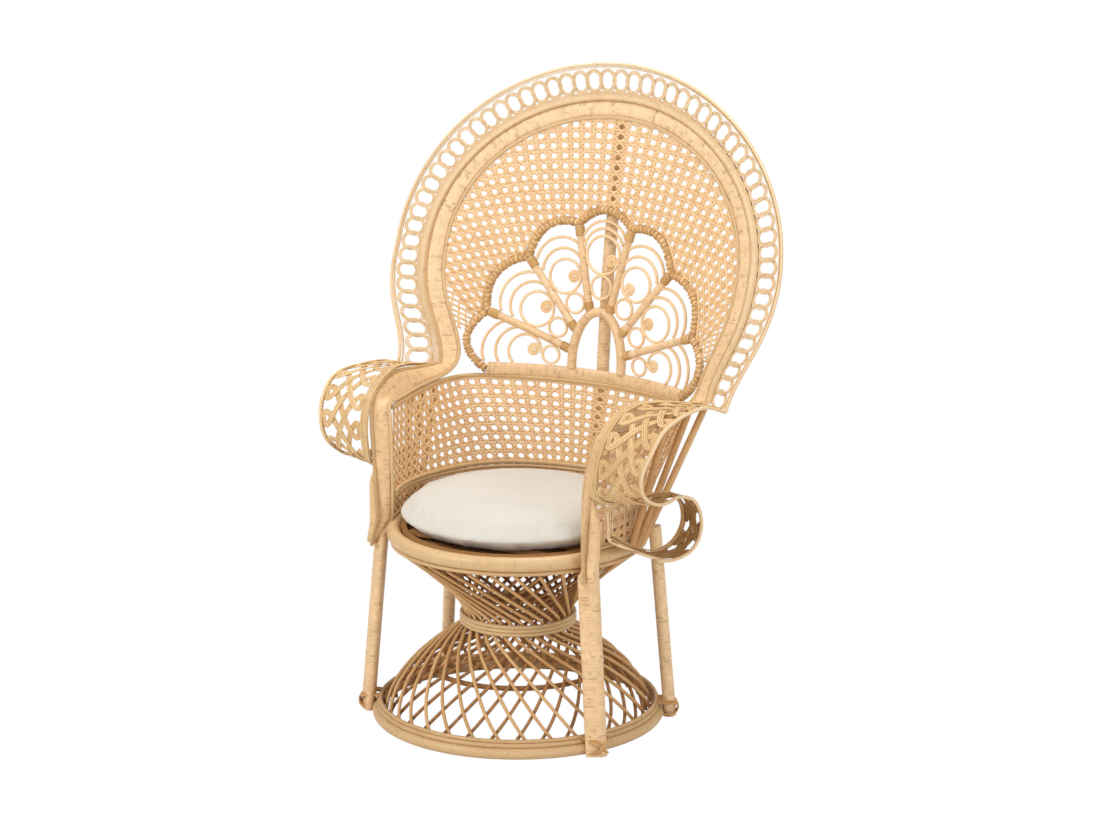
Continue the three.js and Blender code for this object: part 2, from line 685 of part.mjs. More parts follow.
// The wing is a woven strip. Its inner edge follows the arm's outer edge to the front leg, its
// outer edge is the rim; it rolls forward over the arm, runs back under itself and curls down.
const wingRimShares = [
  [1.3, 0.62, 0.993], [1.315, 0.06, 1.003], [1.333, -0.37, 1], [1.324, -0.66, 0.981],
  [1.306, -0.91, 0.927], [1.273, -1.02, 0.873], [1.25, -0.97, 0.824], [1.227, -0.74, 0.779],
  [1.23, -0.44, 0.75], [1.218, -0.12, 0.742], [1.21, 0.18, 0.742], [1.245, 0.42, 0.724],
  [1.267, 0.53, 0.687], [1.28, 0.53, 0.63], [1.24, 0.43, 0.571], [1.148, 0.14, 0.547],
  [1.073, -0.12, 0.568], [0.99, -0.4, 0.6], [0.93, -0.73, 0.645],
];
const wingInnerShares = [
  [1.106, 0.94, 0.98], [1.033, 0.22, 1.01], [0.988, -0.22, 1.016], [0.964, -0.56, 1.0],
  [0.95, -0.85, 0.957], [0.935, -1.0, 0.9], [0.92, -1.04, 0.847], [0.91, -0.98, 0.787],
  [0.95, -0.69, 0.749], [1.0, -0.12, 0.74], [1.045, 0.18, 0.742], [1.067, 0.48, 0.728],
  [1.085, 0.7, 0.687], [1.09, 0.73, 0.63], [1.06, 0.62, 0.58], [1.015, 0.32, 0.557],
  [0.985, 0, 0.575], [0.95, -0.28, 0.603], [0.918, -0.56, 0.64],
];
const rimReturnShares = [[0.927, -0.735, 0.68], [0.918, -0.73, 0.72]];
const wingRim = through([archPoint(1, -border.width), ...wingRimShares.map(armPlace)]);
const wingInner = through([archPoint(1, -band.bead), ...wingInnerShares.map(armPlace)]);

const wingColumns = wingInner.points.length - 1;
function wingSheet() {
  const start = wing.startShare;
  const place = (column, row, off) => {
    const share = Math.max(column / wingColumns, start);
    const inner = wingInner.getPoint(share);
    const toRim = wingRim.getPoint(share).sub(inner);
    const along = wingInner.getPoint(Math.min(share + start, 1));
    along.sub(wingInner.getPoint(Math.max(share - start, 0)));
    const normal = along.cross(toRim).normalize();
    const reach = toRim.length() - rim.cane - wing.sheet / 2 - fit;
    return inner.add(toRim.setLength(reach * (row / wing.rows))).add(normal.multiplyScalar(off));
  };
  return pierced(wingColumns, wing.rows, wing.sheet, place,
    diamond(wing.wideShare * wing.openShare, wing.openShare), staggered);
}
const rightWing = wingSheet();
add('wing_weave_right', rightWing, pale);
add('wing_weave_left', mirrored(rightWing), pale);

const rimEnds = [...rimReturnShares].reverse().map(armPlace);
const rimArm = through([...rimEnds, ...[...wingRim.points].reverse()]);
add('outer_rim', aroundCane(rimArm, -border.width, rim.cane), pale);

// Fan: places given by an angle from straight up and a distance from the hub.
function fanPoint(angle, radius, off = 0) {
  const x = radius * Math.sin(angle * degrees);
  return onSheet(x, fan.hubHeight + radius * Math.cos(angle * degrees), off);
}
const spokeRadii = [fan.innerRadius, fan.middleRadius, fan.outerRadius,
  fan.outerRadius, fan.middleRadius, fan.innerRadius];
const petalBounds = [-petalFootAngle, ...spokeAngles, petalFootAngle];
const petalRadii = [fan.footRadius, ...spokeRadii, fan.footRadius];

function scallopRadius(petal, share) {
  const lobe = petal === 0 || petal === 6 ? fan.sideLobe : fan.lobe;
  const chord = petalRadii[petal] + (petalRadii[petal + 1] - petalRadii[petal]) * share;
  return chord + lobe * Math.sin(Math.PI * share);
}

function scallop(petal) {
  const [from, to] = [petalBounds[petal], petalBounds[petal + 1]];
  const trim = (0.6 * fan.scallopCane + fit) / (petalRadii[1] * (to - from) * degrees);
  return caneAlong(new Path((part) => {
    const share = trim + part * (1 - 2 * trim);
    return fanPoint(from + (to - from) * share, scallopRadius(petal, share));
  }), fan.scallopCane, cuts.scallopCount, facet.squareSides);
}

function petalAxis(petal) {
  if (petal === 0) return -sideAxisAngle;
  if (petal === 6) return sideAxisAngle;
  return (petalBounds[petal] + petalBounds[petal + 1]) / 2;
}

// The widest circle about a centre on the petal's axis that clears the nearer spoke.
function spokeClearance(petal, radius, thin) {
  const nearest = petal < 3 ? petalBounds[petal + 1] : petalBounds[petal];
  const half = Math.abs(petalAxis(petal) - nearest) * degrees;
  return radius * Math.sin(half) - fan.spokeCane - thin + slack;
}

function petalCircle(petal) {
  const radius = circleShares[petal] * fan.outerRadius;
  return { radius, size: spokeClearance(petal, radius, fan.thinCane) };
}

// A place inside a petal: out along its axis and sideways from it.
function petalPoint(petal, along, aside, off = 0) {
  const angle = petalAxis(petal) * degrees;
  const x = along * Math.sin(angle) + aside * Math.cos(angle);
  const z = fan.hubHeight + along * Math.cos(angle) - aside * Math.sin(angle);
  return onSheet(x, z, off);
}

function ringAt(petal, along, size, tube, facets) {
  const torus = new THREE.TorusGeometry(size, tube, 3, facets);
  const p = torus.attributes.position;
  for (let i = 0; i < p.count; i += 1) {
    const spot = petalPoint(petal, along + p.getX(i), p.getY(i), p.getZ(i));
    p.setXYZ(i, spot.x, spot.y, spot.z);
  }
  return outward(weld(torus));
}

// The part of a circle in a petal, from its outer end both ways, that clears its neighbours.
function clippedArc(petal, along, size, tube, room, embed) {
  const bounds = [petalBounds[petal], petalBounds[petal + 1]];
  const clear = (angle) => {
    const spot = petalPoint(petal, along + size * Math.cos(angle), size * Math.sin(angle));
    const turn = Math.atan2(spot.x, spot.z - fan.hubHeight);
    const distance = Math.hypot(spot.x, spot.z - fan.hubHeight);
    const toSpokes = bounds.map((bound) => {
      if (Math.abs(bound) === petalFootAngle) return Infinity;
      return distance * Math.sin(Math.abs(turn - bound * degrees));
    });
    const own = petal < 3 ? 1 : 0;
    toSpokes[own] += embed;
    return Math.min(...toSpokes) > room && spot.z > fan.plinthTop + tube + fit;
  };
  const reach = [1, -1].map((way) => {
    let angle = 0;
    while (angle < Math.PI - arcStepAngle && clear(way * (angle + arcStepAngle))) angle += arcStepAngle;
    return way * angle;
  });
  return new Path((share) => {
    const angle = reach[0] + (reach[1] - reach[0]) * share;
    return petalPoint(petal, along + size * Math.cos(angle), size * Math.sin(angle));
  });
}

// Horseshoe, spokes and crescents are one bound frame.
function hubPath() {
  const points = [vec(-fan.hubHalfWidth, fan.plinthTop + 2 * fit, 0)];
  for (let i = 0; i <= cuts.hubArcCount; i += 1) {
    const angle = Math.PI * (1 - i / cuts.hubArcCount);
    points.push(vec(fan.hubHalfWidth * Math.cos(angle),
      fan.hubHeight + fit + fan.hubRise * Math.sin(angle), 0));
  }
  points.push(vec(fan.hubHalfWidth, fan.plinthTop + 2 * fit, 0));
  return through(points.map((point) => onSheet(point.x, point.y)));
}

function spoke(index) {
  const angle = spokeAngles[index];
  const bend = angle * degrees;
  const hubReach = 1 / Math.hypot(Math.sin(bend) / fan.hubHalfWidth, Math.cos(bend) / fan.hubRise);
  const end = spokeRadii[index] - fan.scallopCane - 2 * fit;
  return caneAlong(new Path((share) => fanPoint(angle, hubReach + (end - hubReach) * share)),
    fan.spokeCane, cuts.spokeCount, facet.lowSides);
}

function crescents(petal) {
  const circle = petalCircle(petal);
  const top = circle.radius + circle.size;
  const room = scallopRadius(petal, 0.5) - fan.scallopCane - top;
  const pieces = [];
  for (const step of [1, 2]) {
    const grow = (room * step) / 6;
    const path = clippedArc(petal, circle.radius + grow, circle.size + grow, fan.thinCane,
      fan.spokeCane + fan.thinCane + fit, 1.6 * fan.thinCane);
    pieces.push(caneAlong(path, fan.thinCane, cuts.arcCount, facet.slimSides));
  }
  return pieces;
}

function fanFrame() {
  const pieces = [caneAlong(hubPath(), fan.hubCane, cuts.hubCount, facet.middleSides)];
  for (let i = 0; i < spokeAngles.length; i += 1) pieces.push(spoke(i));
  for (let petal = 0; petal < 7; petal += 1) {
    pieces.push(...crescents(petal));
  }
  return fuse(pieces);
}

function coil(petal) {
  const circle = petalCircle(petal);
  const way = coilAngles[petal] * degrees;
  const reach = circle.size - fan.coilRadius - fan.thinCane + fan.overlap;
  const centre = [circle.radius + reach * Math.cos(way), reach * Math.sin(way)];
  const path = new Path((share) => {
    const angle = way - (1 - share) * fan.coilTurns * 2 * Math.PI;
    const radius = fan.coilEye + (fan.coilRadius - fan.coilCane - fan.coilEye) * share;
    return petalPoint(petal, centre[0] + radius * Math.cos(angle),
      centre[1] + radius * Math.sin(angle));
  });
  return caneAlong(path, fan.coilCane, cuts.coilCount, facet.slimSides);
}

function scrolls(petal) {
  const circle = petalCircle(petal);
  const side = petal === 0 || petal === 6;
  const start = circle.radius - circle.size;
  const nearest = petal < 3 ? petalBounds[petal + 1] : petalBounds[petal];
  const half = Math.sin(Math.abs(petalAxis(petal) - nearest) * degrees);
  const room = fan.spokeCane + fan.thinCane + fit;
  const size = (start * half - room) / (1 + half);
  const ring = ringAt(petal, start - size - fan.thinCane * 2 + fan.overlap, size,
    fan.thinCane, cuts.smallRingCount);
  const big = side
    ? caneAlong(clippedArc(petal, circle.radius, circle.size, fan.thinCane, 0, 0),
      fan.thinCane, cuts.sideRingCount, facet.slimSides)
    : ringAt(petal, circle.radius, circle.size, fan.thinCane, cuts.ringCount);
  return fuse([big, ring, coil(petal)]);
}

add('fan_plinth', strip(
  (share) => onSheet((2 * share - 1) * fan.plinthHalf, plinthBottom),
  (share) => onSheet((2 * share - 1) * fan.plinthHalf, fan.plinthTop),
  fan.plinthThickness, cuts.plinthCount,
), wrapped);
add('fan_frame', fanFrame(), wrapped);
for (let petal = 0; petal < 7; petal += 1) {
  add(`fan_scallop_${petal + 1}`, scallop(petal), wrapped);
  add(`fan_scroll_${petal + 1}`, scrolls(petal), pale);
}

// The webbing of the back fills the arch down to the fan's scalloped edge.
const edgeShares = [0.6, 1.45, 2.6, 2, 2.1, 1.8, 1.3];
function fanEdge(angle) {
  let petal = 0;
  while (petal < 6 && angle > petalBounds[petal + 1]) petal += 1;
  const share = (angle - petalBounds[petal]) / (petalBounds[petal + 1] - petalBounds[petal]);
  const room = edgeShares[petal] * slack;
  return scallopRadius(petal, Math.min(Math.max(share, 0), 1)) + fan.scallopCane + room;
}

// The distance from the hub, in a direction, at which the arch is reached.
function archReach(turn, inset) {
  let [near, far] = [fan.innerRadius, 2 * back.rise];
  for (let i = 0; i < 30; i += 1) {
    const radius = (near + far) / 2;
    const x = Math.abs(radius * Math.sin(turn));
    const z = fan.hubHeight + radius * Math.cos(turn);
    const climb = Math.max(z - back.centreHeight, 0) / (back.rise - inset);
    const open = archHalfWidth(z, inset) * Math.sqrt(Math.max(1 - climb ** 2, 0));
    if (x < open) near = radius;
    else far = radius;
  }
  return near;
}

// Its columns run out from the fan: four to a petal, and two beside each outer petal.
function backWebbing() {
  const beside = (petalBounds[6] + webbing.endAngle) / 2;
  const angles = [-webbing.endAngle, -beside];
  for (let petal = 1; petal < 6; petal += 1) {
    for (let k = 0; k < 4; k += 1) {
      angles.push(petalBounds[petal] + ((petalBounds[petal + 1] - petalBounds[petal]) * k) / 4);
    }
  }
  angles.push(petalBounds[6], beside, webbing.endAngle);
  const place = (column, row, off) => {
    const low = Math.min(Math.floor(column), angles.length - 2);
    const angle = angles[low] + (angles[low + 1] - angles[low]) * (column - low);
    const turn = angle * degrees;
    const inner = fanEdge(angle);
    const reach = archReach(turn, band.width + slack / 2 + fit);
    const radius = inner + (row / webbing.rows) * (reach - inner);
    return onSheet(radius * Math.sin(turn), fan.hubHeight + radius * Math.cos(turn), off);
  };
  return pierced(angles.length - 1, webbing.rows, webbing.sheet, place,
    diamond(webbing.openShare, webbing.openShare), staggered);
}
add('back_webbing', backWebbing(), cane);

// The back post rises behind the gallery and the sheet, close behind the webbing at its top.
const postOff = post.radius + fan.hubCane + fit;
const postTopOff = flat(post.radius, facet.roundSides) + band.bead + fit;
function postPath() {
  const points = [];
  const low = seatOutside + flat(post.radius, facet.roundSides) + fit;
  points.push(vec(0, low, seat.height - seat.cane), vec(0, low, seat.height + seat.cane));
  for (const z of [gallery.rail, fan.hubHeight, back.centreHeight]) {
    points.push(vec(0, sheetDepth(0, z) + postOff, z));
  }
  points.push(vec(0, sheetDepth(0, post.top) + postTopOff, post.top));
  return through(points);
}
add('back_post', caneAlong(postPath(), post.radius, cuts.postCount, facet.roundSides), wrapped);

// Legs stand against the floor ring and lean in to the seat hoop. The front ones run on behind
// the arm's band.
const ringEdge = baseMiddle + base.cane * Math.sin(Math.PI / 8);
const leanAtRing = ((base.radius - seat.radius) * ringEdge) / seat.height;
const legSide = flat(leg.radius, leg.sides) + 2 * fit;
const footRadius = (angle) => hoopReach(base.radius + baseMiddle, base.facets, angle)
  + legSide + leanAtRing;
const kneeRadius = (angle) => hoopReach(seatOutside, seat.facets, angle) + legSide;
const footLift = (leg.radius * (base.radius - seat.radius)) / seat.height;
const atAngle = (radius, angle, z) => vec(radius * Math.cos(angle), radius * Math.sin(angle), z);

function frontLegPath() {
  const angle = -leg.frontAngle * degrees;
  const knee = atAngle(kneeRadius(angle), angle, seat.height);
  const tip = knee.clone().setZ(leg.frontTop).add(vec(leg.companion, leg.radius / 2, 0));
  return straights([atAngle(footRadius(angle), angle, footLift), knee, tip]);
}

function rearLegPath() {
  const angle = leg.rearAngle * degrees;
  return straights([atAngle(footRadius(angle), angle, footLift),
    atAngle(kneeRadius(angle), angle, seatTop)]);
}
const rightFront = caneAlong(frontLegPath(), leg.radius, cuts.frontLegCount, leg.sides);
const rightRear = caneAlong(rearLegPath(), leg.radius, cuts.poleCount, leg.sides);
add('leg_front_right', rightFront, wrapped);
add('leg_front_left', mirrored(rightFront), wrapped);
add('leg_rear_right', rightRear, wrapped);
add('leg_rear_left', mirrored(rightRear), wrapped);

// A thinner pole runs down in front of each front leg, under the band's outer edge.
function companionPath() {
  const angle = -leg.frontAngle * degrees;
  const off = flat(leg.radius, leg.sides) + leg.companion;
  const aside = vec(Math.sin(angle), -Math.cos(angle), 0).multiplyScalar(off);
  const inward = vec(-Math.cos(angle), -Math.sin(angle), 0).multiplyScalar(leg.companion);
  const place = (radius, z) => atAngle(radius, angle, z).add(aside).add(inward);
  return through([place(footRadius(angle), footLift), place(kneeRadius(angle), seat.height)]);
}
const rightCompanion = caneAlong(companionPath(), leg.companion, cuts.poleCount, facet.middleSides);
add('leg_companion_right', rightCompanion, wrapped);
add('leg_companion_left', mirrored(rightCompanion), wrapped);

// Three poles a side rise from the seat hoop and fan out to the arm's outer edge.
const strutTopShares = [0.81, 0.9, 0.985];
strutTopShares.forEach((share, i) => {
  const angle = strut.angles[i] * degrees;
  const stand = hoopReach(seatOutside, seat.facets, angle) + strut.radius + fit;
  const foot = atAngle(stand, angle, seat.height);
  const edge = armOuter.getPoint(share);
  const top = edge.clone().setZ(edge.z - band.bead - strut.radius - 2 * fit);
  const pole = caneAlong(through([foot, top]), strut.radius, cuts.poleCount, facet.middleSides);
  add(`arm_strut_${i + 1}_right`, pole, cane);
  add(`arm_strut_${i + 1}_left`, mirrored(pole), cane);
});

// Turns of raffia bind each leg to the floor ring.
function lashingKnot(angle) {
  const centre = atAngle(footRadius(angle), angle, 2 * base.cane);
  const knot = new THREE.SphereGeometry(lashing.radius, cuts.knotRoundCount, cuts.knotTallCount);
  knot.scale(1, 1, lashing.height / lashing.radius);
  knot.translate(centre.x, centre.y, centre.z);
  const spread = 1 / Math.cos(Math.PI / leg.sides);
  const overrun = through([atAngle(footRadius(angle), angle, 0),
    atAngle(kneeRadius(angle), angle, seat.height)]);
  const start = overrun.getPoint(0).multiplyScalar(2).sub(overrun.getPoint(0.2));
  const pole = through([start, overrun.getPoint(0.5)]);
  const legRoom = caneAlong(pole, leg.radius + 2 * fit, cuts.poleCount, leg.sides);
  const hoopRoom = polygon((base.cane + fit) * spread, facet.roundSides, halfSideShare);
  const middleRoom = polygon((base.binder + slack) * spread, facet.lowSides);
  const companionRoom = caneAlong(companionPath(), leg.companion + 2 * fit, cuts.poleCount,
    facet.middleSides);
  return toGeometry(toSolid(knot).subtract(toSolid(legRoom))
    .subtract(toSolid(companionRoom))
    .subtract(toSolid(hoop(base.radius, base.cane, hoopRoom, base.facets)))
    .subtract(toSolid(hoop(base.radius - base.step, middleHeight, middleRoom, base.facets))));
}
const frontKnot = lashingKnot(-leg.frontAngle * degrees);
const rearKnot = lashingKnot(leg.rearAngle * degrees);
add('lashing_front_right', frontKnot, dark);
add('lashing_front_left', mirrored(frontKnot), dark);
add('lashing_rear_right', rearKnot, dark);
add('lashing_rear_left', mirrored(rearKnot), dark);

// The chair stands on the floor, centred on its own bounding box.
const extent = new THREE.Box3().setFromObject(chair);
const middle = extent.getCenter(new THREE.Vector3());
chair.position.set(-middle.x, -middle.y, -extent.min.z);

export default chair;
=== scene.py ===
# A rattan peacock chair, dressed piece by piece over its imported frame. All lengths here are in
# millimetres, from the middle of the floor ring, and turn to metres when a mesh is made.
import math

import bpy
import numpy as np
from mathutils import Matrix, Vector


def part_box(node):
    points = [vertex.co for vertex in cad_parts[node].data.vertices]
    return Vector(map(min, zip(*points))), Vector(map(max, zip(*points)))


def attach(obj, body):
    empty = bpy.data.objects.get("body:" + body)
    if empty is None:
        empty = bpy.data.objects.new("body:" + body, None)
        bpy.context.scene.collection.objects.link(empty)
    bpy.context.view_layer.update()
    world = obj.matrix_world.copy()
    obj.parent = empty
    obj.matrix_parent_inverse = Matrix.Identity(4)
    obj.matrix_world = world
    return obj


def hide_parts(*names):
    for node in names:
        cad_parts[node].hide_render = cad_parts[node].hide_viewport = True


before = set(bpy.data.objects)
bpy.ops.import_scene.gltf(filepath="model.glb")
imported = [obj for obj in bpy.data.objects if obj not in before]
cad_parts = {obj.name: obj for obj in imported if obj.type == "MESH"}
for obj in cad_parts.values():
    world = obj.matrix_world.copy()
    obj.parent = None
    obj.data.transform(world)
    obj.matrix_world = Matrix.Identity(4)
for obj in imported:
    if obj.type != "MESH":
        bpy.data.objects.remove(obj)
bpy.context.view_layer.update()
ringLow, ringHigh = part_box("base_hoop")
ringMiddle = (np.array(ringLow) + np.array(ringHigh)) / 2
originShift = np.array([ringMiddle[0], ringMiddle[1], 0.0])
rng = np.random.default_rng(11)
print("frame loaded")


# Colours and nodes.
def linearColour(code):
    values = [int(code[i:i + 2], 16) / 255 for i in (1, 3, 5)]
    return tuple(v / 12.92 if v <= 0.04045 else ((v + 0.055) / 1.055) ** 2.4 for v in values) + (1.0,)


def addNode(tree, kind, settings=None, sockets=None, links=None):
    node = tree.nodes.new(kind)
    for key, value in (settings or {}).items():
        setattr(node, key, value)
    for key, value in (sockets or {}).items():
        node.inputs[key].default_value = value
    for key, source in (links or {}).items():
        tree.links.new(source, node.inputs[key])
    return node


def newMaterial(name):
    material = bpy.data.materials.new(name)
    material.use_nodes = True
    tree = material.node_tree
    shader = tree.nodes["Principled BSDF"]
    return material, tree, shader


# Rattan is a climbing palm: its core is a pale porous wood, its peel a smooth glossy skin.
# Every strand has its own tone, and a slow stain runs over all of it.
def caneMaterial(name, light, deep, stain, roughness, grain=700.0, coat=0.0, stainScale=22.0,
                 seamShade=0.0, toneShare=0.55):
    material, tree, shader = newMaterial(name)
    place = addNode(tree, "ShaderNodeTexCoord").outputs["Object"]
    tone = addNode(tree, "ShaderNodeAttribute", {"attribute_name": "tone"}).outputs["Fac"]
    slow = addNode(tree, "ShaderNodeTexNoise", {}, {"Scale": stainScale, "Detail": 4.0,
                   "Roughness": 0.6}, {"Vector": place}).outputs["Fac"]
    fine = addNode(tree, "ShaderNodeTexNoise", {}, {"Scale": grain, "Detail": 2.0},
                   {"Vector": place}).outputs["Fac"]
    mixTone = addNode(tree, "ShaderNodeMath", {"operation": "MULTIPLY"}, {1: toneShare}, {0: tone})
    blend = addNode(tree, "ShaderNodeMath", {"operation": "MULTIPLY_ADD"}, {1: 1 - toneShare},
                    {0: slow, 2: mixTone.outputs[0]})
    colour = addNode(tree, "ShaderNodeMix", {"data_type": "RGBA"}, {6: linearColour(light),
                     7: linearColour(deep)}, {0: blend.outputs[0]})
    patches = addNode(tree, "ShaderNodeTexNoise", {}, {"Scale": stainScale * 3.1, "Detail": 5.0},
                      {"Vector": place})
    patch = addNode(tree, "ShaderNodeMapRange", {}, {1: 0.55, 2: 0.8, 3: 0.0, 4: 0.5},
                    {0: patches.outputs["Fac"]})
    stained = addNode(tree, "ShaderNodeMix", {"data_type": "RGBA"}, {7: linearColour(stain)},
                      {0: patch.outputs[0], 6: colour.outputs[2]})
    last = stained.outputs[2]
    if seamShade > 0:
        # Wrapped strands lie side by side; painted shade darkens the seam where two of them meet.
        turn = addNode(tree, "ShaderNodeAttribute", {"attribute_name": "turn"}).outputs["Fac"]
        away = addNode(tree, "ShaderNodeMath", {"operation": "PINGPONG"}, {1: 0.5}, {0: turn})
        count = addNode(tree, "ShaderNodeMath", {"operation": "FLOOR"}, {}, {0: turn})
        chance = addNode(tree, "ShaderNodeTexWhiteNoise", {"noise_dimensions": "1D"}, {},
                         {"W": count.outputs[0]})
        edge = addNode(tree, "ShaderNodeMapRange", {}, {1: 0.0, 2: 0.2, 3: 1.0, 4: 0.0},
                       {0: away.outputs[0]})
        depth = addNode(tree, "ShaderNodeMapRange", {}, {1: 0.55, 2: 0.92, 3: seamShade, 4: 1.0},
                        {0: chance.outputs["Value"]})
        partly = addNode(tree, "ShaderNodeMapRange", {}, {1: 0.44, 2: 0.54, 3: 0.3, 4: 1.0},
                         {0: patches.outputs["Fac"]})
        shade = addNode(tree, "ShaderNodeMath", {"operation": "MULTIPLY"}, {},
                        {0: edge.outputs[0], 1: depth.outputs[0]})
        shade = addNode(tree, "ShaderNodeMath", {"operation": "MULTIPLY"}, {},
                        {0: shade.outputs[0], 1: partly.outputs[0]})
        # Here and there two strands part, and painted shade marks the short dark slit between them.
        rare = addNode(tree, "ShaderNodeMapRange", {}, {1: 0.8, 2: 0.84, 3: 0.0, 4: 0.85},
                       {0: chance.outputs["Value"]})
        short = addNode(tree, "ShaderNodeMapRange", {}, {1: 0.5, 2: 0.53, 3: 0.0, 4: 1.0},
                        {0: patches.outputs["Fac"]})
        wide = addNode(tree, "ShaderNodeMapRange", {}, {1: 0.12, 2: 0.42, 3: 1.0, 4: 0.0},
                       {0: away.outputs[0]})
        slit = addNode(tree, "ShaderNodeMath", {"operation": "MULTIPLY"}, {},
                       {0: rare.outputs[0], 1: short.outputs[0]})
        slit = addNode(tree, "ShaderNodeMath", {"operation": "MULTIPLY"}, {},
                       {0: slit.outputs[0], 1: wide.outputs[0]})
        shade = addNode(tree, "ShaderNodeMath", {"operation": "MAXIMUM"}, {},
                        {0: shade.outputs[0], 1: slit.outputs[0]})
        strandTone = addNode(tree, "ShaderNodeMapRange", {}, {3: 0.92, 4: 1.09},
                             {0: chance.outputs["Value"]})
        toned = addNode(tree, "ShaderNodeVectorMath", {"operation": "SCALE"}, {},
                        {0: last, 3: strandTone.outputs[0]})
        # 6f441c is the painted shade laid into seams and slits.
        dark = addNode(tree, "ShaderNodeMix", {"data_type": "RGBA"}, {7: linearColour("#6f441c")},
                       {0: shade.outputs[0], 6: toned.outputs[0]})
        last = dark.outputs[2]
    tree.links.new(last, shader.inputs["Base Color"])
    rough = addNode(tree, "ShaderNodeMapRange", {}, {3: roughness - 0.07, 4: roughness + 0.1},
                    {0: fine})
    tree.links.new(rough.outputs[0], shader.inputs["Roughness"])
    bump = addNode(tree, "ShaderNodeBump", {}, {"Strength": 0.12, "Distance": 0.0006},
                   {"Height": fine})
    tree.links.new(bump.outputs[0], shader.inputs["Normal"])
    shader.inputs["IOR"].default_value = 1.5
    shader.inputs["Coat Weight"].default_value = coat
    shader.inputs["Coat Roughness"].default_value = 0.25
    return material


peeledCane = caneMaterial("peeledCane", "#dcbf92", "#c39a66", "#a2754a", 0.46, coat=0.12)
# wrappedPeel gets painted shade in the seams between its wound strands.
wrappedPeel = caneMaterial("wrappedPeel", "#f1d3a9", "#e2b782", "#cc9f68", 0.48, coat=0.1,
                           seamShade=0.35)
webbingPeel = caneMaterial("webbingPeel", "#f2d0a0", "#e2b47c", "#c9965a", 0.45, coat=0.15)
paleCore = caneMaterial("paleCore", "#ebd2ac", "#d9b585", "#bf925e", 0.62)
roundCore = caneMaterial("roundCore", "#e3bb84", "#c08d54", "#a06f3c", 0.6)
shadedCore = caneMaterial("shadedCore", "#b98750", "#8e5f33", "#75492a", 0.66)
raffia = caneMaterial("raffia", "#dcb076", "#b98a50", "#8f6234", 0.7)
lacing = caneMaterial("lacing", "#d9b175", "#b98a50", "#8a5e30", 0.7)
wingCore = caneMaterial("wingCore", "#e6c795", "#c99f66", "#9c6c3a", 0.62)
shadedWing = caneMaterial("shadedWing", "#c49a62", "#9c7040", "#7a5229", 0.66)
thinCore = caneMaterial("thinCore", "#f3d7ac", "#e7be8a", "#d6a76e", 0.55)


# Building meshes.
# A run of closed sections becomes one skin: section k of station i joins section k of station
# i + 1, and both ends of an open run are capped by one flat face.
def meshOf(name, runs, material, body, replaced):
    points, quads, caps, tones, turns = [], [], [], [], []
    start = 0
    for rings, closed, tone, turn in runs:
        strands, stations, sides = rings.shape[:3]
        points.append(rings.reshape(-1, 3))
        index = start + np.arange(strands * stations * sides).reshape(strands, stations, sides)
        nextSide = np.roll(index, -1, axis=2)
        if closed:
            ahead, aheadSide = np.roll(index, -1, axis=1), np.roll(nextSide, -1, axis=1)
            here, hereSide = index, nextSide
        else:
            here, hereSide = index[:, :-1], nextSide[:, :-1]
            ahead, aheadSide = index[:, 1:], nextSide[:, 1:]
            caps.append((index[:, 0, ::-1], index[:, -1, :]))
        quads.append(np.stack([here, hereSide, aheadSide, ahead], axis=-1).reshape(-1, 4))
        spread = np.broadcast_to(np.asarray(tone, float).reshape(-1, 1, 1), index.shape)
        tones.append(spread.reshape(-1))
        along = np.zeros(index.shape) + np.asarray(turn, float).reshape(-1, stations, 1)
        turns.append(along.reshape(-1))
        start += index.size
    vertices = np.concatenate(points) / 1000 + originShift
    quads = np.concatenate(quads)
    loops = [quads.reshape(-1)]
    totals = [np.full(len(quads), 4)]
    for pair in caps:
        for cap in pair:
            loops.append(cap.reshape(-1))
            totals.append(np.full(len(cap), cap.shape[1]))
    loops, totals = np.concatenate(loops), np.concatenate(totals)
    mesh = bpy.data.meshes.new(name)
    mesh.vertices.add(len(vertices))
    mesh.vertices.foreach_set("co", vertices.reshape(-1))
    mesh.loops.add(len(loops))
    mesh.loops.foreach_set("vertex_index", loops.astype(np.int32))
    mesh.polygons.add(len(totals))
    starts = np.concatenate([[0], np.cumsum(totals)[:-1]]).astype(np.int32)
    mesh.polygons.foreach_set("loop_start", starts)
    mesh.polygons.foreach_set("use_smooth", np.ones(len(totals), bool))
    mesh.update(calc_edges=True)
    for key, values in (("tone", tones), ("turn", turns)):
        layer = mesh.attributes.new(key, "FLOAT", "POINT")
        layer.data.foreach_set("value", np.concatenate(values).astype(np.float32))
    mesh.validate()
    mesh.materials.append(material)
    piece = bpy.data.objects.new(name, mesh)
    bpy.context.scene.collection.objects.link(piece)
    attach(piece, body)
    if replaced:
        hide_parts(*replaced)


def unit(vectors):
    return vectors / np.maximum(np.linalg.norm(vectors, axis=-1, keepdims=True), 1e-9)


# Sections stand square to the path: each is turned so that its own second axis lies as near
# the lift direction as it can.
def ringsAlong(path, lift, profile, size=1.0, closed=False):
    if path.ndim == 2:
        path = path[None]
    lift = np.broadcast_to(lift, path.shape)
    if closed:
        ahead = np.roll(path, -1, axis=1) - np.roll(path, 1, axis=1)
    else:
        ahead = np.gradient(path, axis=1)
    ahead = unit(ahead)
    side = unit(np.cross(ahead, lift))
    rise = np.cross(side, ahead)
    size = np.broadcast_to(np.asarray(size, float), path.shape[:2])
    reach = size[:, :, None, None] * profile[None, None]
    return (path[:, :, None] + reach[..., 0:1] * side[:, :, None]
            + reach[..., 1:2] * rise[:, :, None])


def roundProfile(radius, sides):
    angle = np.arange(sides) / sides * 2 * np.pi
    return np.stack([radius * np.cos(angle), radius * np.sin(angle)], axis=-1)


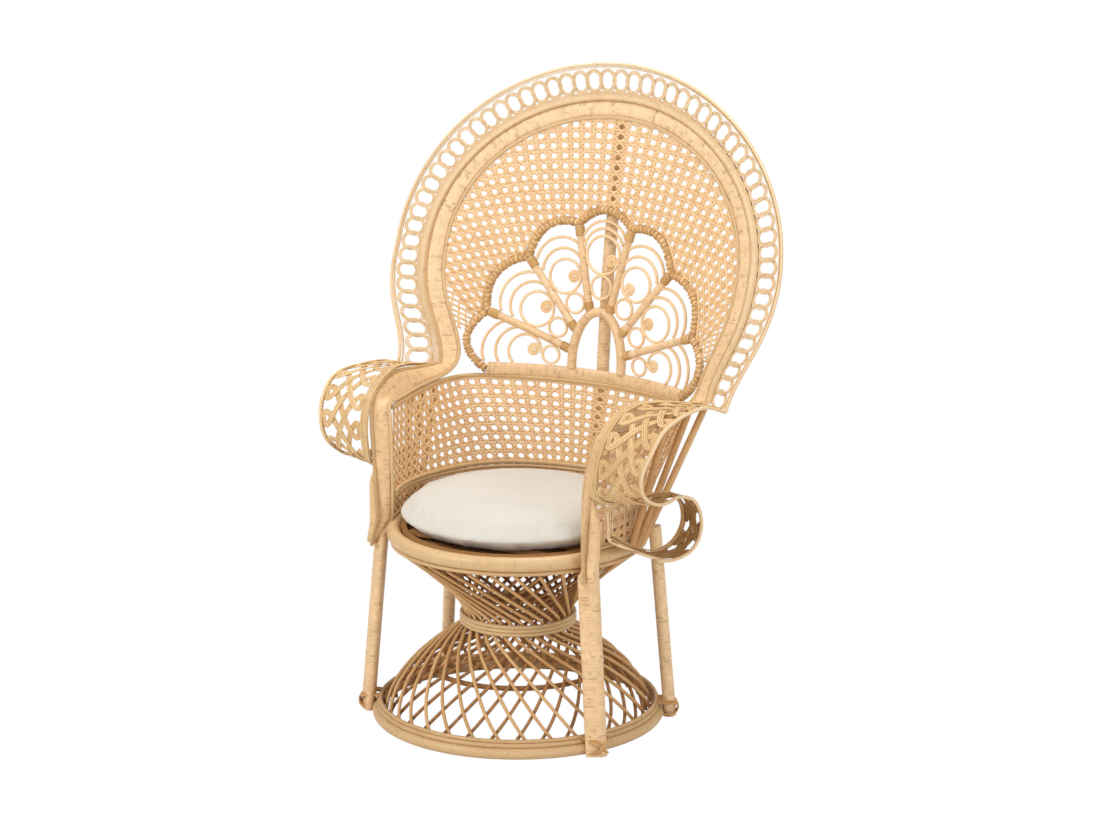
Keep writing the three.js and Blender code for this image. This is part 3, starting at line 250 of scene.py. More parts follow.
# A flat strand: a squashed circle whose sides are fuller than an ellipse's.
def flatProfile(width, thickness, sides=6):
    angle = (np.arange(sides) + 0.5) / sides * 2 * np.pi
    x, y = np.cos(angle), np.sin(angle)
    full = 0.6
    return np.stack([width / 2 * np.sign(x) * np.abs(x) ** full,
                     thickness / 2 * np.sign(y) * np.abs(y) ** full], axis=-1)


# The curve through points: a Catmull-Rom curve whose knots are spaced by
# the square root of the distance between points. Shares are even in the points' count.
def splineAt(points, shares):
    points = np.asarray(points, float)
    shares = np.asarray(shares, float)
    padded = np.vstack([2 * points[0] - points[1], points, 2 * points[-1] - points[-2]])
    spot = np.clip(shares, 0, 1) * (len(points) - 1)
    low = np.minimum(spot.astype(int), len(points) - 2)
    t = (spot - low)[..., None]
    p0, p1, p2, p3 = (padded[low + k] for k in range(4))
    d0, d1, d2 = (np.maximum(np.linalg.norm(b - a, axis=-1, keepdims=True), 1e-6) ** 0.5
                  for a, b in ((p0, p1), (p1, p2), (p2, p3)))
    m1 = ((p1 - p0) / d0 - (p2 - p0) / (d0 + d1) + (p2 - p1) / d1) * d1
    m2 = ((p2 - p1) / d1 - (p3 - p1) / (d1 + d2) + (p3 - p2) / d2) * d1
    return (p1 + m1 * t + (-3 * p1 + 3 * p2 - 2 * m1 - m2) * t ** 2
            + (2 * p1 - 2 * p2 + m1 + m2) * t ** 3)


def lengthAlong(path):
    steps = np.linalg.norm(np.diff(path, axis=0), axis=1)
    return np.concatenate([[0], np.cumsum(steps)])


# The same path with stations an even distance apart.
def evenly(path, spacing=None, count=None):
    run = lengthAlong(path)
    if count is None:
        count = max(int(round(run[-1] / spacing)) + 1, 2)
    wanted = np.linspace(0, run[-1], count)
    return np.stack([np.interp(wanted, run, path[:, k]) for k in range(3)], axis=-1)


# A closely wrapped cane: a tube whose radius swells over each strand of width `strand` and sinks
# between two strands. Every wound strand has this many stations.
strandStations = 4


def strandSwell(turn, turns, spread):
    swell = np.sqrt(np.abs(np.sin(np.pi * turn)))
    return swell, rng.normal(0, spread, turns + 2)[np.minimum(turn.astype(int), turns)]


def wrappedRun(path, radius, strand, lift, sides=14, ridge=0.35):
    turns = max(int(round(lengthAlong(path)[-1] / strand)), 1)
    count = turns * strandStations + 1
    turn = np.arange(count) / strandStations
    swell, strandNoise = strandSwell(turn, turns, 0.12)
    size = (radius + ridge * (swell - 0.6) + ridge * strandNoise)[None]
    rings = ringsAlong(evenly(path, count=count), lift, roundProfile(1.0, sides), size)
    return rings, False, [rng.random()], turn[None]


# A plain cane has knots where leaves grew: every few hundred millimetres it thickens a little.
def caneRun(path, radius, lift, sides=10, closed=False, spacing=8.0, knots=0.03):
    source = np.vstack([path, path[:1]]) if closed else path
    fine = evenly(source, spacing)
    if closed:
        fine = fine[:-1]
    run = np.arange(len(fine)) * spacing
    pitch = rng.uniform(230, 420)
    offset = rng.uniform(0, pitch)
    away = np.abs((run + offset) % pitch - pitch / 2)
    size = radius * (1 + knots * np.exp(-(away / 5.0) ** 2))[None]
    rings = ringsAlong(fine, lift, roundProfile(1.0, sides), size, closed)
    return rings, closed, [rng.random()], (run / 40)[None]


def circlePath(radius, height, count=180):
    angle = np.arange(count) / count * 2 * np.pi
    return np.stack([radius * np.cos(angle), radius * np.sin(angle),
                     np.full(count, float(height))], axis=-1)


def mirroredRun(run):
    rings, closed, tone, turn = run
    flipped = rings[:, :, ::-1] * np.array([-1.0, 1.0, 1.0])
    return flipped, closed, tone, turn


up = np.array([0.0, 0.0, 1.0])
front = np.array([0.0, -1.0, 0.0])
degrees = math.pi / 180


# The base: three hoops, two layers of rods, the waist's turns.
base = {"radius": 317, "cane": 13, "middle": 6, "top": 5, "step": 3}
waist = {"radius": 127, "height": 231, "cane": 4.6, "neck": 17, "half": 13}
bell = {"bulge": 1.75, "hoopHeight": 125, "hoopCane": 6}
rod = {"radius": 3.9, "count": 32, "twist": 53, "even": 30, "late": 26, "lateness": 5, "layer": 9.9}
seat = {"radius": 277, "cane": 17, "height": 429, "under": 6}

ringFlat = base["cane"] * math.cos(math.pi / 8)
middleHeight = 2 * ringFlat + 0.3 + base["middle"] * math.cos(math.pi / 6)
topHeight = middleHeight + base["middle"] * math.cos(math.pi / 6) + base["top"] * 0.707 + 0.3
meshOf("floor_ring", [caneRun(circlePath(base["radius"], ringFlat + 0.6), base["cane"] - 0.6, up,
       sides=16, closed=True, knots=0.02)], peeledCane, "chair", ["base_hoop"])
meshOf("floor_ring_binder", [caneRun(circlePath(base["radius"] - base["step"], middleHeight),
       base["middle"] - 0.3, up, closed=True)], peeledCane, "chair", ["base_middle_hoop"])
meshOf("floor_ring_top_binder", [caneRun(circlePath(base["radius"] - 2 * base["step"], topHeight),
       base["top"] - 0.5, up, closed=True)], peeledCane, "chair", ["base_top_hoop"])

neckRadius = waist["radius"] - 4.5 - 4
neckLow = waist["height"] - waist["neck"]
bellFoot = (base["radius"] - ringFlat) * math.cos(math.pi / 32) - 4 - 0.6
rodTopRadius = seat["radius"] - 8
rodTopHeight = seat["height"] - seat["cane"] - 8 - rod["layer"] / 2
collarHalf = waist["half"] + 0.3


# Below the waist a rod turns evenly with its height h, 1 at the neck and 0 at the foot, and more
# quickly close under the neck: angle = even (1 - h) + late (1 - h^5). Above the waist it is
# straight, on a cone.
def rodPath(start, turnWay, below, inset, shares):
    if below:
        h = 1 - shares
        radius = neckRadius + (bellFoot - neckRadius) * (1 - h ** bell["bulge"])
        height = ringFlat + (neckLow - ringFlat) * h
        turn = rod["even"] * (1 - h) + rod["late"] * (1 - h ** rod["lateness"])
        angle = start - turnWay * turn * degrees
        path = np.column_stack([radius * np.cos(angle), radius * np.sin(angle), height])
    else:
        end = start + turnWay * rod["twist"] * degrees
        a = np.array([math.cos(start), math.sin(start)]) * neckRadius
        b = np.array([math.cos(end), math.sin(end)]) * rodTopRadius
        plan = a + (b - a) * shares[:, None]
        rise = rodTopHeight - waist["height"] - collarHalf
        path = np.column_stack([plan, waist["height"] + collarHalf + rise * shares])
    along = unit(np.gradient(path, axis=0))
    around = unit(np.column_stack([-path[:, 1], path[:, 0], np.zeros(len(path))]))
    outer = unit(np.cross(around, along)) * (-1 if below else 1)
    return path - outer * inset


def rodRuns(turnWay, inset):
    runs = []
    shares = np.linspace(0, 1, 200)
    for i in range(rod["count"]):
        start = (i + 0.5) / rod["count"] * 2 * math.pi
        lower = rodPath(start, turnWay, True, inset, shares)[::-1]
        upper = rodPath(start, turnWay, False, inset, shares)
        whole = evenly(np.vstack([lower, upper[4:]]), 7.0)
        for _ in range(2):
            whole[1:-1] = (whole[:-2] + whole[1:-1] + whole[2:]) / 3
        wobble = rng.normal(0, 0.5, 3)
        share = np.linspace(0, 1, len(whole))[:, None]
        whole = whole + wobble * np.sin(share * math.pi * rng.integers(1, 4))
        runs.append(caneRun(whole, rod["radius"], np.array([0.3, 0.2, 1.0]), sides=8,
                            spacing=9.0))
    return runs


meshOf("outer_rods", rodRuns(-1, 0), roundCore, "chair", ["lattice_outer"])
meshOf("inner_rods", rodRuns(1, rod["layer"]), shadedCore, "chair", ["lattice_inner"])
waistRadius = neckRadius + rod["radius"] + waist["cane"]
meshOf("waist_turns", [caneRun(circlePath(waistRadius, waist["height"] + k * 8.8, 90),
       waist["cane"], up, closed=True) for k in (-1, 0, 1)], peeledCane, "chair",
       ["waist_hoops"])


def bellRadius(z):
    drop = 1 - ((z - ringFlat) / (neckLow - ringFlat)) ** bell["bulge"]
    return neckRadius + (bellFoot - neckRadius) * drop


stiffener = bellRadius(bell["hoopHeight"]) - rod["layer"] - 4 - bell["hoopCane"] - 7.6
meshOf("bell_stiffener", [caneRun(circlePath(stiffener, bell["hoopHeight"], 120),
       bell["hoopCane"] - 0.3, up, closed=True)], shadedCore, "chair", ["skirt_inner_hoop"])
print("base done")


# The seat's rings and the deck under the cushion.
seatTop = seat["height"] + seat["cane"] * math.cos(math.pi / 8)
seatOutside = seat["radius"] + seat["cane"] * math.cos(math.pi / 8)
meshOf("seat_ring", [caneRun(circlePath(seat["radius"], seat["height"], 240), seat["cane"] - 0.6,
       up, sides=20, closed=True, knots=0.02)], peeledCane, "chair", ["seat_hoop"])
underRadius = rodTopRadius + 4 + seat["under"] + 1.9
underHeight = seat["height"] - seat["cane"] * 0.924 - seat["under"] * 0.707 - 0.6
meshOf("basket_ring", [caneRun(circlePath(underRadius, underHeight), seat["under"] - 1.2, up,
       closed=True)], peeledCane, "chair", ["seat_under_hoop"])
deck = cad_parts["seat_deck"]
deck.data.materials.clear()
deck.data.materials.append(shadedCore)


# The back's sheet, on which arch, border, fan and webbing lie.
back = {"halfWidth": 431, "centreHeight": 990, "rise": 355, "shoulder": 722, "shoulderIn": 70,
        "depth": (336, 366, 456), "curl": (238, 110, 118), "curlReach": 495,
        "heights": (700, 1000, 1420), "side": 0.145}
band = {"width": 50, "thickness": 6, "bead": 5, "strand": 2.5}
border = {"width": 75, "lean": 0.3}


def parabola(z, values):
    z0, z1, z2 = back["heights"]
    low, middle, high = values
    return (low * (z - z1) * (z - z2) / ((z0 - z1) * (z0 - z2))
            + middle * (z - z0) * (z - z2) / ((z1 - z0) * (z1 - z2))
            + high * (z - z0) * (z - z1) / ((z2 - z0) * (z2 - z1)))


# The sheet leans away with height and curls forward with the square of the distance sideways.
def sheetDepth(x, z):
    return parabola(z, back["depth"]) - parabola(z, back["curl"]) * (x / back["curlReach"]) ** 2


def onSheet(x, z, off=0.0):
    x, z, off = np.broadcast_arrays(np.asarray(x, float), np.asarray(z, float), off)
    return np.stack([x, sheetDepth(x, z) + off, z], axis=-1)


def archHalfWidth(z, inset):
    drop = (back["centreHeight"] - z) / (back["centreHeight"] - back["shoulder"])
    drawn = 0.5 - 0.5 * np.cos(np.pi * np.maximum(drop, 0) ** 1.3)
    return back["halfWidth"] - inset - back["shoulderIn"] * drawn


# Half an ellipse on two drawn-in sides; share 0 is the left shoulder and 1 the right one.
def archPlane(share, inset):
    share, inset = np.broadcast_arrays(np.asarray(share, float), np.asarray(inset, float))
    side = back["side"]
    fromEnd = np.minimum(share, 1 - share)
    angle = np.pi * (1 - (share - side) / (1 - 2 * side))
    topX = (back["halfWidth"] - inset) * np.cos(angle)
    topZ = back["centreHeight"] + (back["rise"] - inset) * np.sin(angle)
    z = back["shoulder"] + (back["centreHeight"] - back["shoulder"]) * fromEnd / side
    sideX = np.where(share < 0.5, -1, 1) * archHalfWidth(z, inset)
    above = fromEnd >= side
    return np.where(above, topX, sideX), np.where(above, topZ, z)


def archPoint(share, inset, off=0.0):
    x, z = archPlane(share, inset)
    inset, off = np.broadcast_to(inset, x.shape), np.broadcast_to(off, x.shape)
    edgeX, edgeZ = archPlane(share, 0.0)
    atEdge = sheetDepth(edgeX, edgeZ)
    drop = np.clip((back["centreHeight"] - z) / (back["centreHeight"] - back["shoulder"]), 0, 1)
    lean = border["lean"] + (1 - border["lean"]) * drop
    depth = sheetDepth(x, z)
    depth = np.where(inset >= 0, depth, atEdge + lean * (depth - atEdge))
    return np.stack([x, depth + off, z], axis=-1)


# The gallery's wall and the arms' curves.
gallery = {"rail": 695, "railCane": 6, "footCane": 5, "radius": 282, "halfWidth": 325,
           "reach": 336, "frontAngle": 27.5, "bow": 3}
bowShares = [[0.834, -0.315], [0.862, -0.19], [0.892, -0.06], [0.928, 0.09], [0.954, 0.238],
             [0.975, 0.4], [0.981, 0.55], [0.95, 0.69], [0.86, 0.79], [0.7, 0.86], [0.5, 0.922],
             [0.25, 0.977], [0, 0.998]]
bowRight = np.array([[x * gallery["halfWidth"], y * gallery["reach"], 0] for x, y in bowShares])
bowPoints = np.vstack([bowRight[:-1] * [-1, 1, 1], bowRight[::-1]])
galleryBottom = seatTop + gallery["footCane"] + 0.3


def galleryTop(share, z=None):
    spot = splineAt(bowPoints, share)
    spot[..., 2] = gallery["rail"] if z is None else z
    return spot


def galleryFoot(share):
    turn = gallery["frontAngle"]
    angle = (180 + turn - (180 + 2 * turn) * np.asarray(share, float)) * degrees
    return np.stack([gallery["radius"] * np.cos(angle), gallery["radius"] * np.sin(angle),
                     np.full(angle.shape, galleryBottom)], axis=-1)


def galleryWall(share, z, off=0.0):
    share, z, off = np.broadcast_arrays(np.asarray(share, float), np.asarray(z, float), off)
    climb = np.clip((z - galleryBottom) / (gallery["rail"] - galleryBottom), 0, 1)
    late = climb ** (1 + gallery["bow"] * np.abs(2 * share - 1) ** 3)
    foot, top = galleryFoot(share), galleryTop(share)
    spot = foot + (top - foot) * late[..., None]
    spot[..., 2] = z
    out = spot * [1, 1, 0]
    return spot + unit(out) * off[..., None]


arm = {"spread": 330, "reach": 160, "height": 750}
armTopShares = [1, 0.96, 0.92, 0.88, 0.84, 0.8, 0.765]
armRiseShares = [0, 0.18, 0.5, 0.72, 0.88]
armOuterShares = [[0.818, -1.006, 0.61], [0.83, -1, 0.667], [0.855, -0.956, 0.773],
                  [0.876, -0.9375, 0.853], [0.887, -0.918, 0.884], [0.904, -0.86, 0.928],
                  [0.921, -0.75, 0.96], [0.936, -0.53, 0.989], [0.958, -0.22, 1.004],
                  [1, 0.22, 0.999], [1.045, 0.625, 0.984], [1.073, 1, 0.973]]
bandStart = seatTop + band["bead"] + 0.3
armLift = gallery["railCane"] + band["bead"] + 0.3
innerInset = band["width"] - band["bead"]


def armPlace(shares):
    return np.array(shares, float) * [arm["spread"], arm["reach"], arm["height"]]


riseHeights = [bandStart + (gallery["rail"] - bandStart) * s for s in armRiseShares]
armInnerPoints = np.vstack([galleryWall(np.ones(5), np.array(riseHeights)),
                            galleryTop(np.array(armTopShares)) + [0, 0, armLift],
                            archPoint(np.array([1.0]), innerInset)])
armOuterPoints = np.vstack([armPlace(armOuterShares), archPoint(np.array([1.0]), band["bead"])])
fineShares = np.linspace(0, 1, 400)
flip = np.array([-1.0, 1.0, 1.0])


# Up one arm, round the arch, down the other.
def aroundPath(armPoints, inset, off=0.0):
    right = splineAt(armPoints, fineShares)
    over = archPoint(1 - np.linspace(0, 1, 900), inset, off)
    return np.vstack([right[:-1], over, (right * flip)[::-1][1:]])


innerBead = aroundPath(armInnerPoints, innerInset)
outerBead = aroundPath(armOuterPoints, band["bead"])


def smoothed(path, rounds=6):
    path = path.copy()
    for _ in range(rounds):
        path[1:-1] = (path[:-2] + path[1:-1] + path[2:]) / 3
    return path


innerBead, outerBead = smoothed(innerBead), smoothed(outerBead)


# The cane bends round where the arch meets the arm: there the path is smoothed far more.
def rounderCorner(path, at, reach, rounds):
    place = np.arange(len(path))
    fromEnd = len(path) - 1 - place
    share = np.exp(-((place - at) / reach) ** 2) + np.exp(-((fromEnd - at) / reach) ** 2)
    return path + (smoothed(path, rounds) - path) * np.minimum(share, 1)[:, None]


corner = {"station": 392, "reach": 60, "rounds": 260}
innerBead = rounderCorner(innerBead, corner["station"], corner["reach"], corner["rounds"])


# Both edge canes run on down beside the front leg and end in its wrapping.
tails = {"innerFoot": [272, -164, 386], "outerFoot": [279, -172, 392], "stations": 13}


def withTails(path, foot):
    tail = np.array(foot, float) + (path[0] - foot) * np.linspace(0, 1, tails["stations"] + 1)[:-1, None]
    return smoothed(np.vstack([tail, path, (tail * flip)[::-1]]), 4)


innerBead = withTails(innerBead, tails["innerFoot"])
outerBead = withTails(outerBead, tails["outerFoot"])
armLast = len(fineShares) + tails["stations"] - 1


# Bands: flat strands wound square across a strip whose edges are two curves
def bandRun(edgeA, edgeB, thickness, strand, ridge=0.45):
    middle = (edgeA + edgeB) / 2
    run = lengthAlong(middle)
    turns = int(round(run[-1] / strand))
    wanted = np.linspace(0, run[-1], turns * strandStations + 1)
    pick = [np.stack([np.interp(wanted, run, edge[:, k]) for k in range(3)], axis=-1)
            for edge in (edgeA, edgeB)]
    middle = (pick[0] + pick[1]) / 2
    across = pick[1] - pick[0]
    half = np.linalg.norm(across, axis=1) / 2
    across = unit(across)
    ahead = unit(np.gradient(middle, axis=0))
    rise = unit(np.cross(ahead, across))
    turn = np.arange(len(middle)) / strandStations
    swell, jitter = strandSwell(turn, turns, 0.14)
    thickness = np.interp(wanted, run, np.broadcast_to(thickness, run.shape))
    thick = thickness / 2 + ridge * (swell - 0.6 + jitter)
    side = np.array([-1, -0.8, -0.3, 0.3, 0.8, 1, 1, 0.8, 0.3, -0.3, -0.8, -1])
    lift = np.array([0.35, 0.85, 1.1, 1.1, 0.85, 0.35, -0.35, -0.85, -1, -1, -0.85, -0.35])
    rings = (middle[:, None] + across[:, None] * (side[None, :, None] * half[:, None, None])
             + rise[:, None] * (lift[None, :, None] * thick[:, None, None]))
    return rings[None], False, [rng.random()], turn[None]


# Both edges are read at the same shares, so that the strands run square across.
def pairedEdges(pathA, pathB, gapA, gapB):
    across = unit(pathB - pathA)
    return pathA + across * gapA, pathB - across * gapB


edgeGap = band["bead"] - 0.6
over = slice(armLast, -armLast)
edgeA, edgeB = pairedEdges(innerBead[over], outerBead[over], edgeGap, edgeGap)
meshOf("arch_band_wrap", [bandRun(edgeA, edgeB, band["thickness"], band["strand"])], wrappedPeel, "chair",
       ["arch_band"])

# Low on the arm the band widens and thickens until it is wound round the leg's top as well.
legCover = {"place": [299, -146], "full": 520, "none": 604, "thickness": 25,
            "middle": [291, -155], "tuck": 446, "tuckedBy": 60, "tuckShare": 0.42}
upArm = slice(1, armLast + 1)
edgeA, edgeB = pairedEdges(innerBead[upArm], outerBead[upArm], edgeGap, edgeGap)
climb = np.clip((edgeB[:, 2] - legCover["full"]) / (legCover["none"] - legCover["full"]), 0, 1)
share = 1 - climb ** 2 * (3 - 2 * climb)
edgeB[:, :2] += (np.array(legCover["place"]) - edgeB[:, :2]) * share[:, None]
tucked = np.clip((legCover["tuck"] - edgeA[:, 2]) / legCover["tuckedBy"], 0, 1)[:, None]
for edge in (edgeA, edgeB):
    edge[:, :2] += (np.array(legCover["middle"]) - edge[:, :2]) * tucked * legCover["tuckShare"]
armThickness = band["thickness"] + (legCover["thickness"] - band["thickness"]) * share
armRun = bandRun(edgeA, edgeB, armThickness, band["strand"])
meshOf("arm_band_wrap_right", [armRun], wrappedPeel, "chair", ["arm_band_right"])
meshOf("arm_band_wrap_left", [mirroredRun(armRun)], wrappedPeel, "chair", ["arm_band_left"])

beadLift = np.array([0.25, -1.0, 0.15])


# Each edge of the band carries a round cane with a thinner one lying along it.
def beadRuns(path, radius, aside, spacing=7.0):
    runs = [caneRun(path, radius, beadLift, sides=8, spacing=spacing)]
    for off, size in aside:
        runs.append(caneRun(path + off, size, beadLift, sides=6, spacing=spacing))
    return runs


meshOf("inner_bead_cane", beadRuns(innerBead, band["bead"] - 0.7,
       [(np.array([0, -1.8, 3.6]), 1.7)]), peeledCane, "chair", ["band_inner_bead"])
meshOf("outer_bead_cane", beadRuns(outerBead, band["bead"] - 0.7,
       [(np.array([0, -4.2, 0]), 1.7)]), peeledCane, "chair", ["band_outer_bead"])

railShares = np.linspace(0.012, 0.988, 500)
railPath = galleryTop(railShares)
meshOf("gallery_rail_canes", [caneRun(railPath + [0, 0, 1.4], 4.6, up),
       caneRun(galleryTop(railShares, gallery["rail"] - 2.6), 2.9, up)],
       peeledCane, "chair", ["gallery_top_rail"])
footPath = galleryFoot(railShares)
meshOf("gallery_foot_cane", [caneRun(footPath, gallery["footCane"] - 0.4, up)], peeledCane,
       "chair", ["gallery_foot_rail"])
lowRail = {"height": 509, "cane": 5.4, "under": 3.6, "drop": 9, "off": -4}
lowShares = np.linspace(0.012, 0.988, 300)
lowUpper = galleryWall(lowShares, lowRail["height"], lowRail["off"])
lowUnder = galleryWall(lowShares, lowRail["height"] - lowRail["drop"], lowRail["off"])
meshOf("gallery_low_rail", [caneRun(lowUpper, lowRail["cane"], up),
       caneRun(lowUnder, lowRail["under"], up)], peeledCane, "chair", [])
coil = {"inside": 96, "pitch": 8.6, "cane": 4.2, "drop": 6}
coilRadii = np.arange(coil["inside"], seat["radius"] - seat["cane"] + 2, coil["pitch"])
coilHeight = seat["height"] - coil["drop"]
coilRuns = [caneRun(circlePath(r, coilHeight, 100), coil["cane"], up, sides=5, closed=True)
            for r in coilRadii]
meshOf("deck_coil", coilRuns, shadedCore, "chair", [])
print("bands done")


# Caning: upright and level pairs of peel strands with slanting strands both ways
# between them, so that each mesh is an eight-sided hole. Grid places are in holes.
def caningRuns(place, inside, columns, rows, width, thickness, step=0.34, pairShare=0.146):
    profile = flatProfile(width, thickness, 6)
    low, high = (columns[0], rows[0]), (columns[1], rows[1])
    lines = []
    for i in np.arange(math.floor(low[0]), math.ceil(high[0]) + 1):
        for side in (-pairShare, pairShare):
            v = np.arange(low[1], high[1] + step, step)
            lines.append((np.full(v.shape, i + side), v, -0.9, 0))
    for j in np.arange(math.floor(low[1]), math.ceil(high[1]) + 1):
        for side in (-pairShare, pairShare):
            u = np.arange(low[0], high[0] + step, step)
            lines.append((u, np.full(u.shape, j + side), -0.1, 1))
    span = (high[0] - low[0]) + (high[1] - low[1])
    for k in np.arange(math.floor(low[0] - high[1]), math.ceil(high[0] - low[1]) + 1):
        v = np.arange(low[1], high[1] + step, step * 0.75)
        lines.append((v + k + 0.5, v, 0.7, 2))
    for k in np.arange(math.floor(low[0] + low[1]), math.ceil(high[0] + high[1]) + 1):
        v = np.arange(low[1], high[1] + step, step * 0.75)
        lines.append((k + 0.5 - v, v, 1.5, 3))
    runs = []
    for u, v, level, kind in lines:
        good = inside(u, v)
        if not good.any():
            continue
        edges = np.flatnonzero(np.diff(np.concatenate([[0], good.astype(int), [0]])))
        for a, b in zip(edges[::2], edges[1::2]):
            if b - a < 2:
                continue
            uu, vv = u[a:b], v[a:b]
            weave = 0.35 * np.cos(np.pi * (uu + vv + kind))
            path = place(uu, vv, (level + weave) * thickness)
            lift = place(uu, vv, 1.0) - place(uu, vv, 0.0)
            rings = ringsAlong(path, lift[None], profile)
            runs.append((rings, False, [rng.random()], np.arange(len(uu))[None] * 0.3))
    return runs


# The fan: plinth, hub, six spokes and seven petals. Radii are from the middle of the hub.
fan = {"hub": 742, "plinthHalf": 252, "plinthTop": 728, "hubHalf": 66, "hubRise": 120,
       "hubCane": 11, "spokeCane": 9, "scallopCane": 8, "thin": 3.5,
       "radii": (292, 299, 324), "foot": 264, "lobe": 28, "sideLobe": 35, "coil": 17,
       "coilCane": 2.3, "eye": 3}
plinthBottom = gallery["rail"] + gallery["railCane"] + 0.3
spokeAngles = [-69.5, -39.3, -12.5, 12.5, 39.3, 69.5]
petalBounds = [-96.5] + spokeAngles + [96.5]
spokeRadii = [fan["radii"][k] for k in (0, 1, 2, 2, 1, 0)]
petalRadii = [fan["foot"]] + spokeRadii + [fan["foot"]]
circleShares = [0.556, 0.6, 0.664, 0.772, 0.664, 0.6, 0.556]
coilAngles = [165, 130, 115, 118, -150, -150, -165]
petalAxes = [-85.0] + [(petalBounds[k] + petalBounds[k + 1]) / 2 for k in range(1, 6)] + [85.0]


def fanPoint(angle, radius, off=0.0):
    angle = np.asarray(angle, float) * degrees
    return onSheet(radius * np.sin(angle), fan["hub"] + radius * np.cos(angle), off)


def scallopRadius(petal, share):
    lobe = fan["sideLobe"] if petal in (0, 6) else fan["lobe"]
    chord = petalRadii[petal] + (petalRadii[petal + 1] - petalRadii[petal]) * share
    return chord + lobe * np.sin(np.pi * share)


def petalPoint(petal, along, aside, off=0.0):
    angle = petalAxes[petal] * degrees
    x = along * math.sin(angle) + aside * math.cos(angle)
    z = fan["hub"] + along * math.cos(angle) - aside * math.sin(angle)
    return onSheet(x, z, off)


def petalCircle(petal):
    radius = circleShares[petal] * fan["radii"][2]
    nearest = petalBounds[petal + 1] if petal < 3 else petalBounds[petal]
    half = abs(petalAxes[petal] - nearest) * degrees
    return radius, radius * math.sin(half) - fan["spokeCane"] - fan["thin"] + 1.9, half


# The part of a circle in a petal that stays clear of spokes and plinth.
def clippedArc(petal, along, size, room, embed):
    def clear(angle):
        spot = petalPoint(petal, along + size * math.cos(angle), size * math.sin(angle))
        turn = math.atan2(spot[0], spot[2] - fan["hub"])
        distance = math.hypot(spot[0], spot[2] - fan["hub"])
        gaps = [math.inf if abs(b) > 96 else distance * math.sin(abs(turn - b * degrees))
                for b in (petalBounds[petal], petalBounds[petal + 1])]
        gaps[1 if petal < 3 else 0] += embed
        return min(gaps) > room and spot[2] > fan["plinthTop"] + fan["thin"] - 2
    ends = []
    for way in (1, -1):
        angle = 0.0
        while angle < math.pi - 0.02 and clear(way * (angle + 0.02)):
            angle += 0.02
        ends.append(way * angle)
    angle = np.linspace(ends[0], ends[1], 120)
    return petalPoint(petal, along + size * np.cos(angle), size * np.sin(angle))


def hubPath():
    angle = np.pi * (1 - np.linspace(0, 1, 60))
    x = np.concatenate([[-fan["hubHalf"]], fan["hubHalf"] * np.cos(angle), [fan["hubHalf"]]])
    z = np.concatenate([[fan["plinthTop"] - 2], fan["hub"] + fan["hubRise"] * np.sin(angle),
                        [fan["plinthTop"] - 2]])
    return onSheet(x, z)


# A short lashing: a few turns of strand drawn tight over a joint, standing proud of it.
def lashingRun(centre, axis, radius, length, strand=2.6, lift=front):
    share = np.linspace(-0.5, 0.5, 24)[:, None]
    path = centre + unit(axis) * length * share
    return wrappedRun(path, radius, strand, lift, sides=12, ridge=0.6)


frameRuns = [wrappedRun(hubPath(), fan["hubCane"] - 0.3, 3.0, front)]
knotRuns = []
for index, angle in enumerate(spokeAngles):
    bend = angle * degrees
    hubReach = 1 / math.hypot(math.sin(bend) / fan["hubHalf"], math.cos(bend) / fan["hubRise"])
    end = spokeRadii[index] - fan["scallopCane"] + 3
    path = fanPoint(angle, np.linspace(hubReach, end, 40))
    frameRuns.append(wrappedRun(path, fan["spokeCane"] - 0.2, 3.0, front))
    for near, far, size in ((hubReach + 11, hubReach + 30, 1.6), (end - 24, end - 2, 1.9)):
        joint = fanPoint(angle, (near + far) / 2)
        knotRuns.append(lashingRun(joint, fanPoint(angle, far) - fanPoint(angle, near),
                                   fan["spokeCane"] + size, far - near))
thinRuns = []
for petal in range(7):
    radius, size, half = petalCircle(petal)
    room = scallopRadius(petal, 0.5) - fan["scallopCane"] - radius - size
    for step in (1, 2):
        grow = room * step / 6
        arc = clippedArc(petal, radius + grow, size + grow, fan["spokeCane"] + 2,
                         1.6 * fan["thin"])
        thinRuns.append(caneRun(arc, fan["thin"], front, sides=10, spacing=4.0, knots=0.0))
meshOf("fan_frame_wrap", frameRuns, wrappedPeel, "chair", ["fan_frame"])
meshOf("fan_lashings", knotRuns, lacing, "chair", [])
meshOf("fan_crescents", thinRuns, thinCore, "chair", [])

lace = {"every": 10.5, "strand": 1.5, "turns": 2}


# Knots of darker strand lace the webbing to the scalloped edge.
def lacedRuns(path, radius, every, strand, count):
    fine = evenly(path, every)
    ahead = unit(np.gradient(fine, axis=0))
    turn = np.linspace(0, 2 * np.pi, 18, endpoint=False)
    runs = []
    for spot, along in zip(fine, ahead):
        side = unit(np.cross(along, front))
        for k in range(count):
            lean = rng.normal(0, 2.2)
            size = radius + rng.uniform(0.2, 1.2)
            loop = (spot + along * ((k - (count - 1) / 2) * strand * 1.9)
                    + (side * np.cos(turn)[:, None] + front * np.sin(turn)[:, None]) * size
                    + along * (lean * np.cos(turn))[:, None])
            runs.append(caneRun(loop, strand, along, sides=6, closed=True, spacing=3.2,
                                knots=0.0))
    return runs


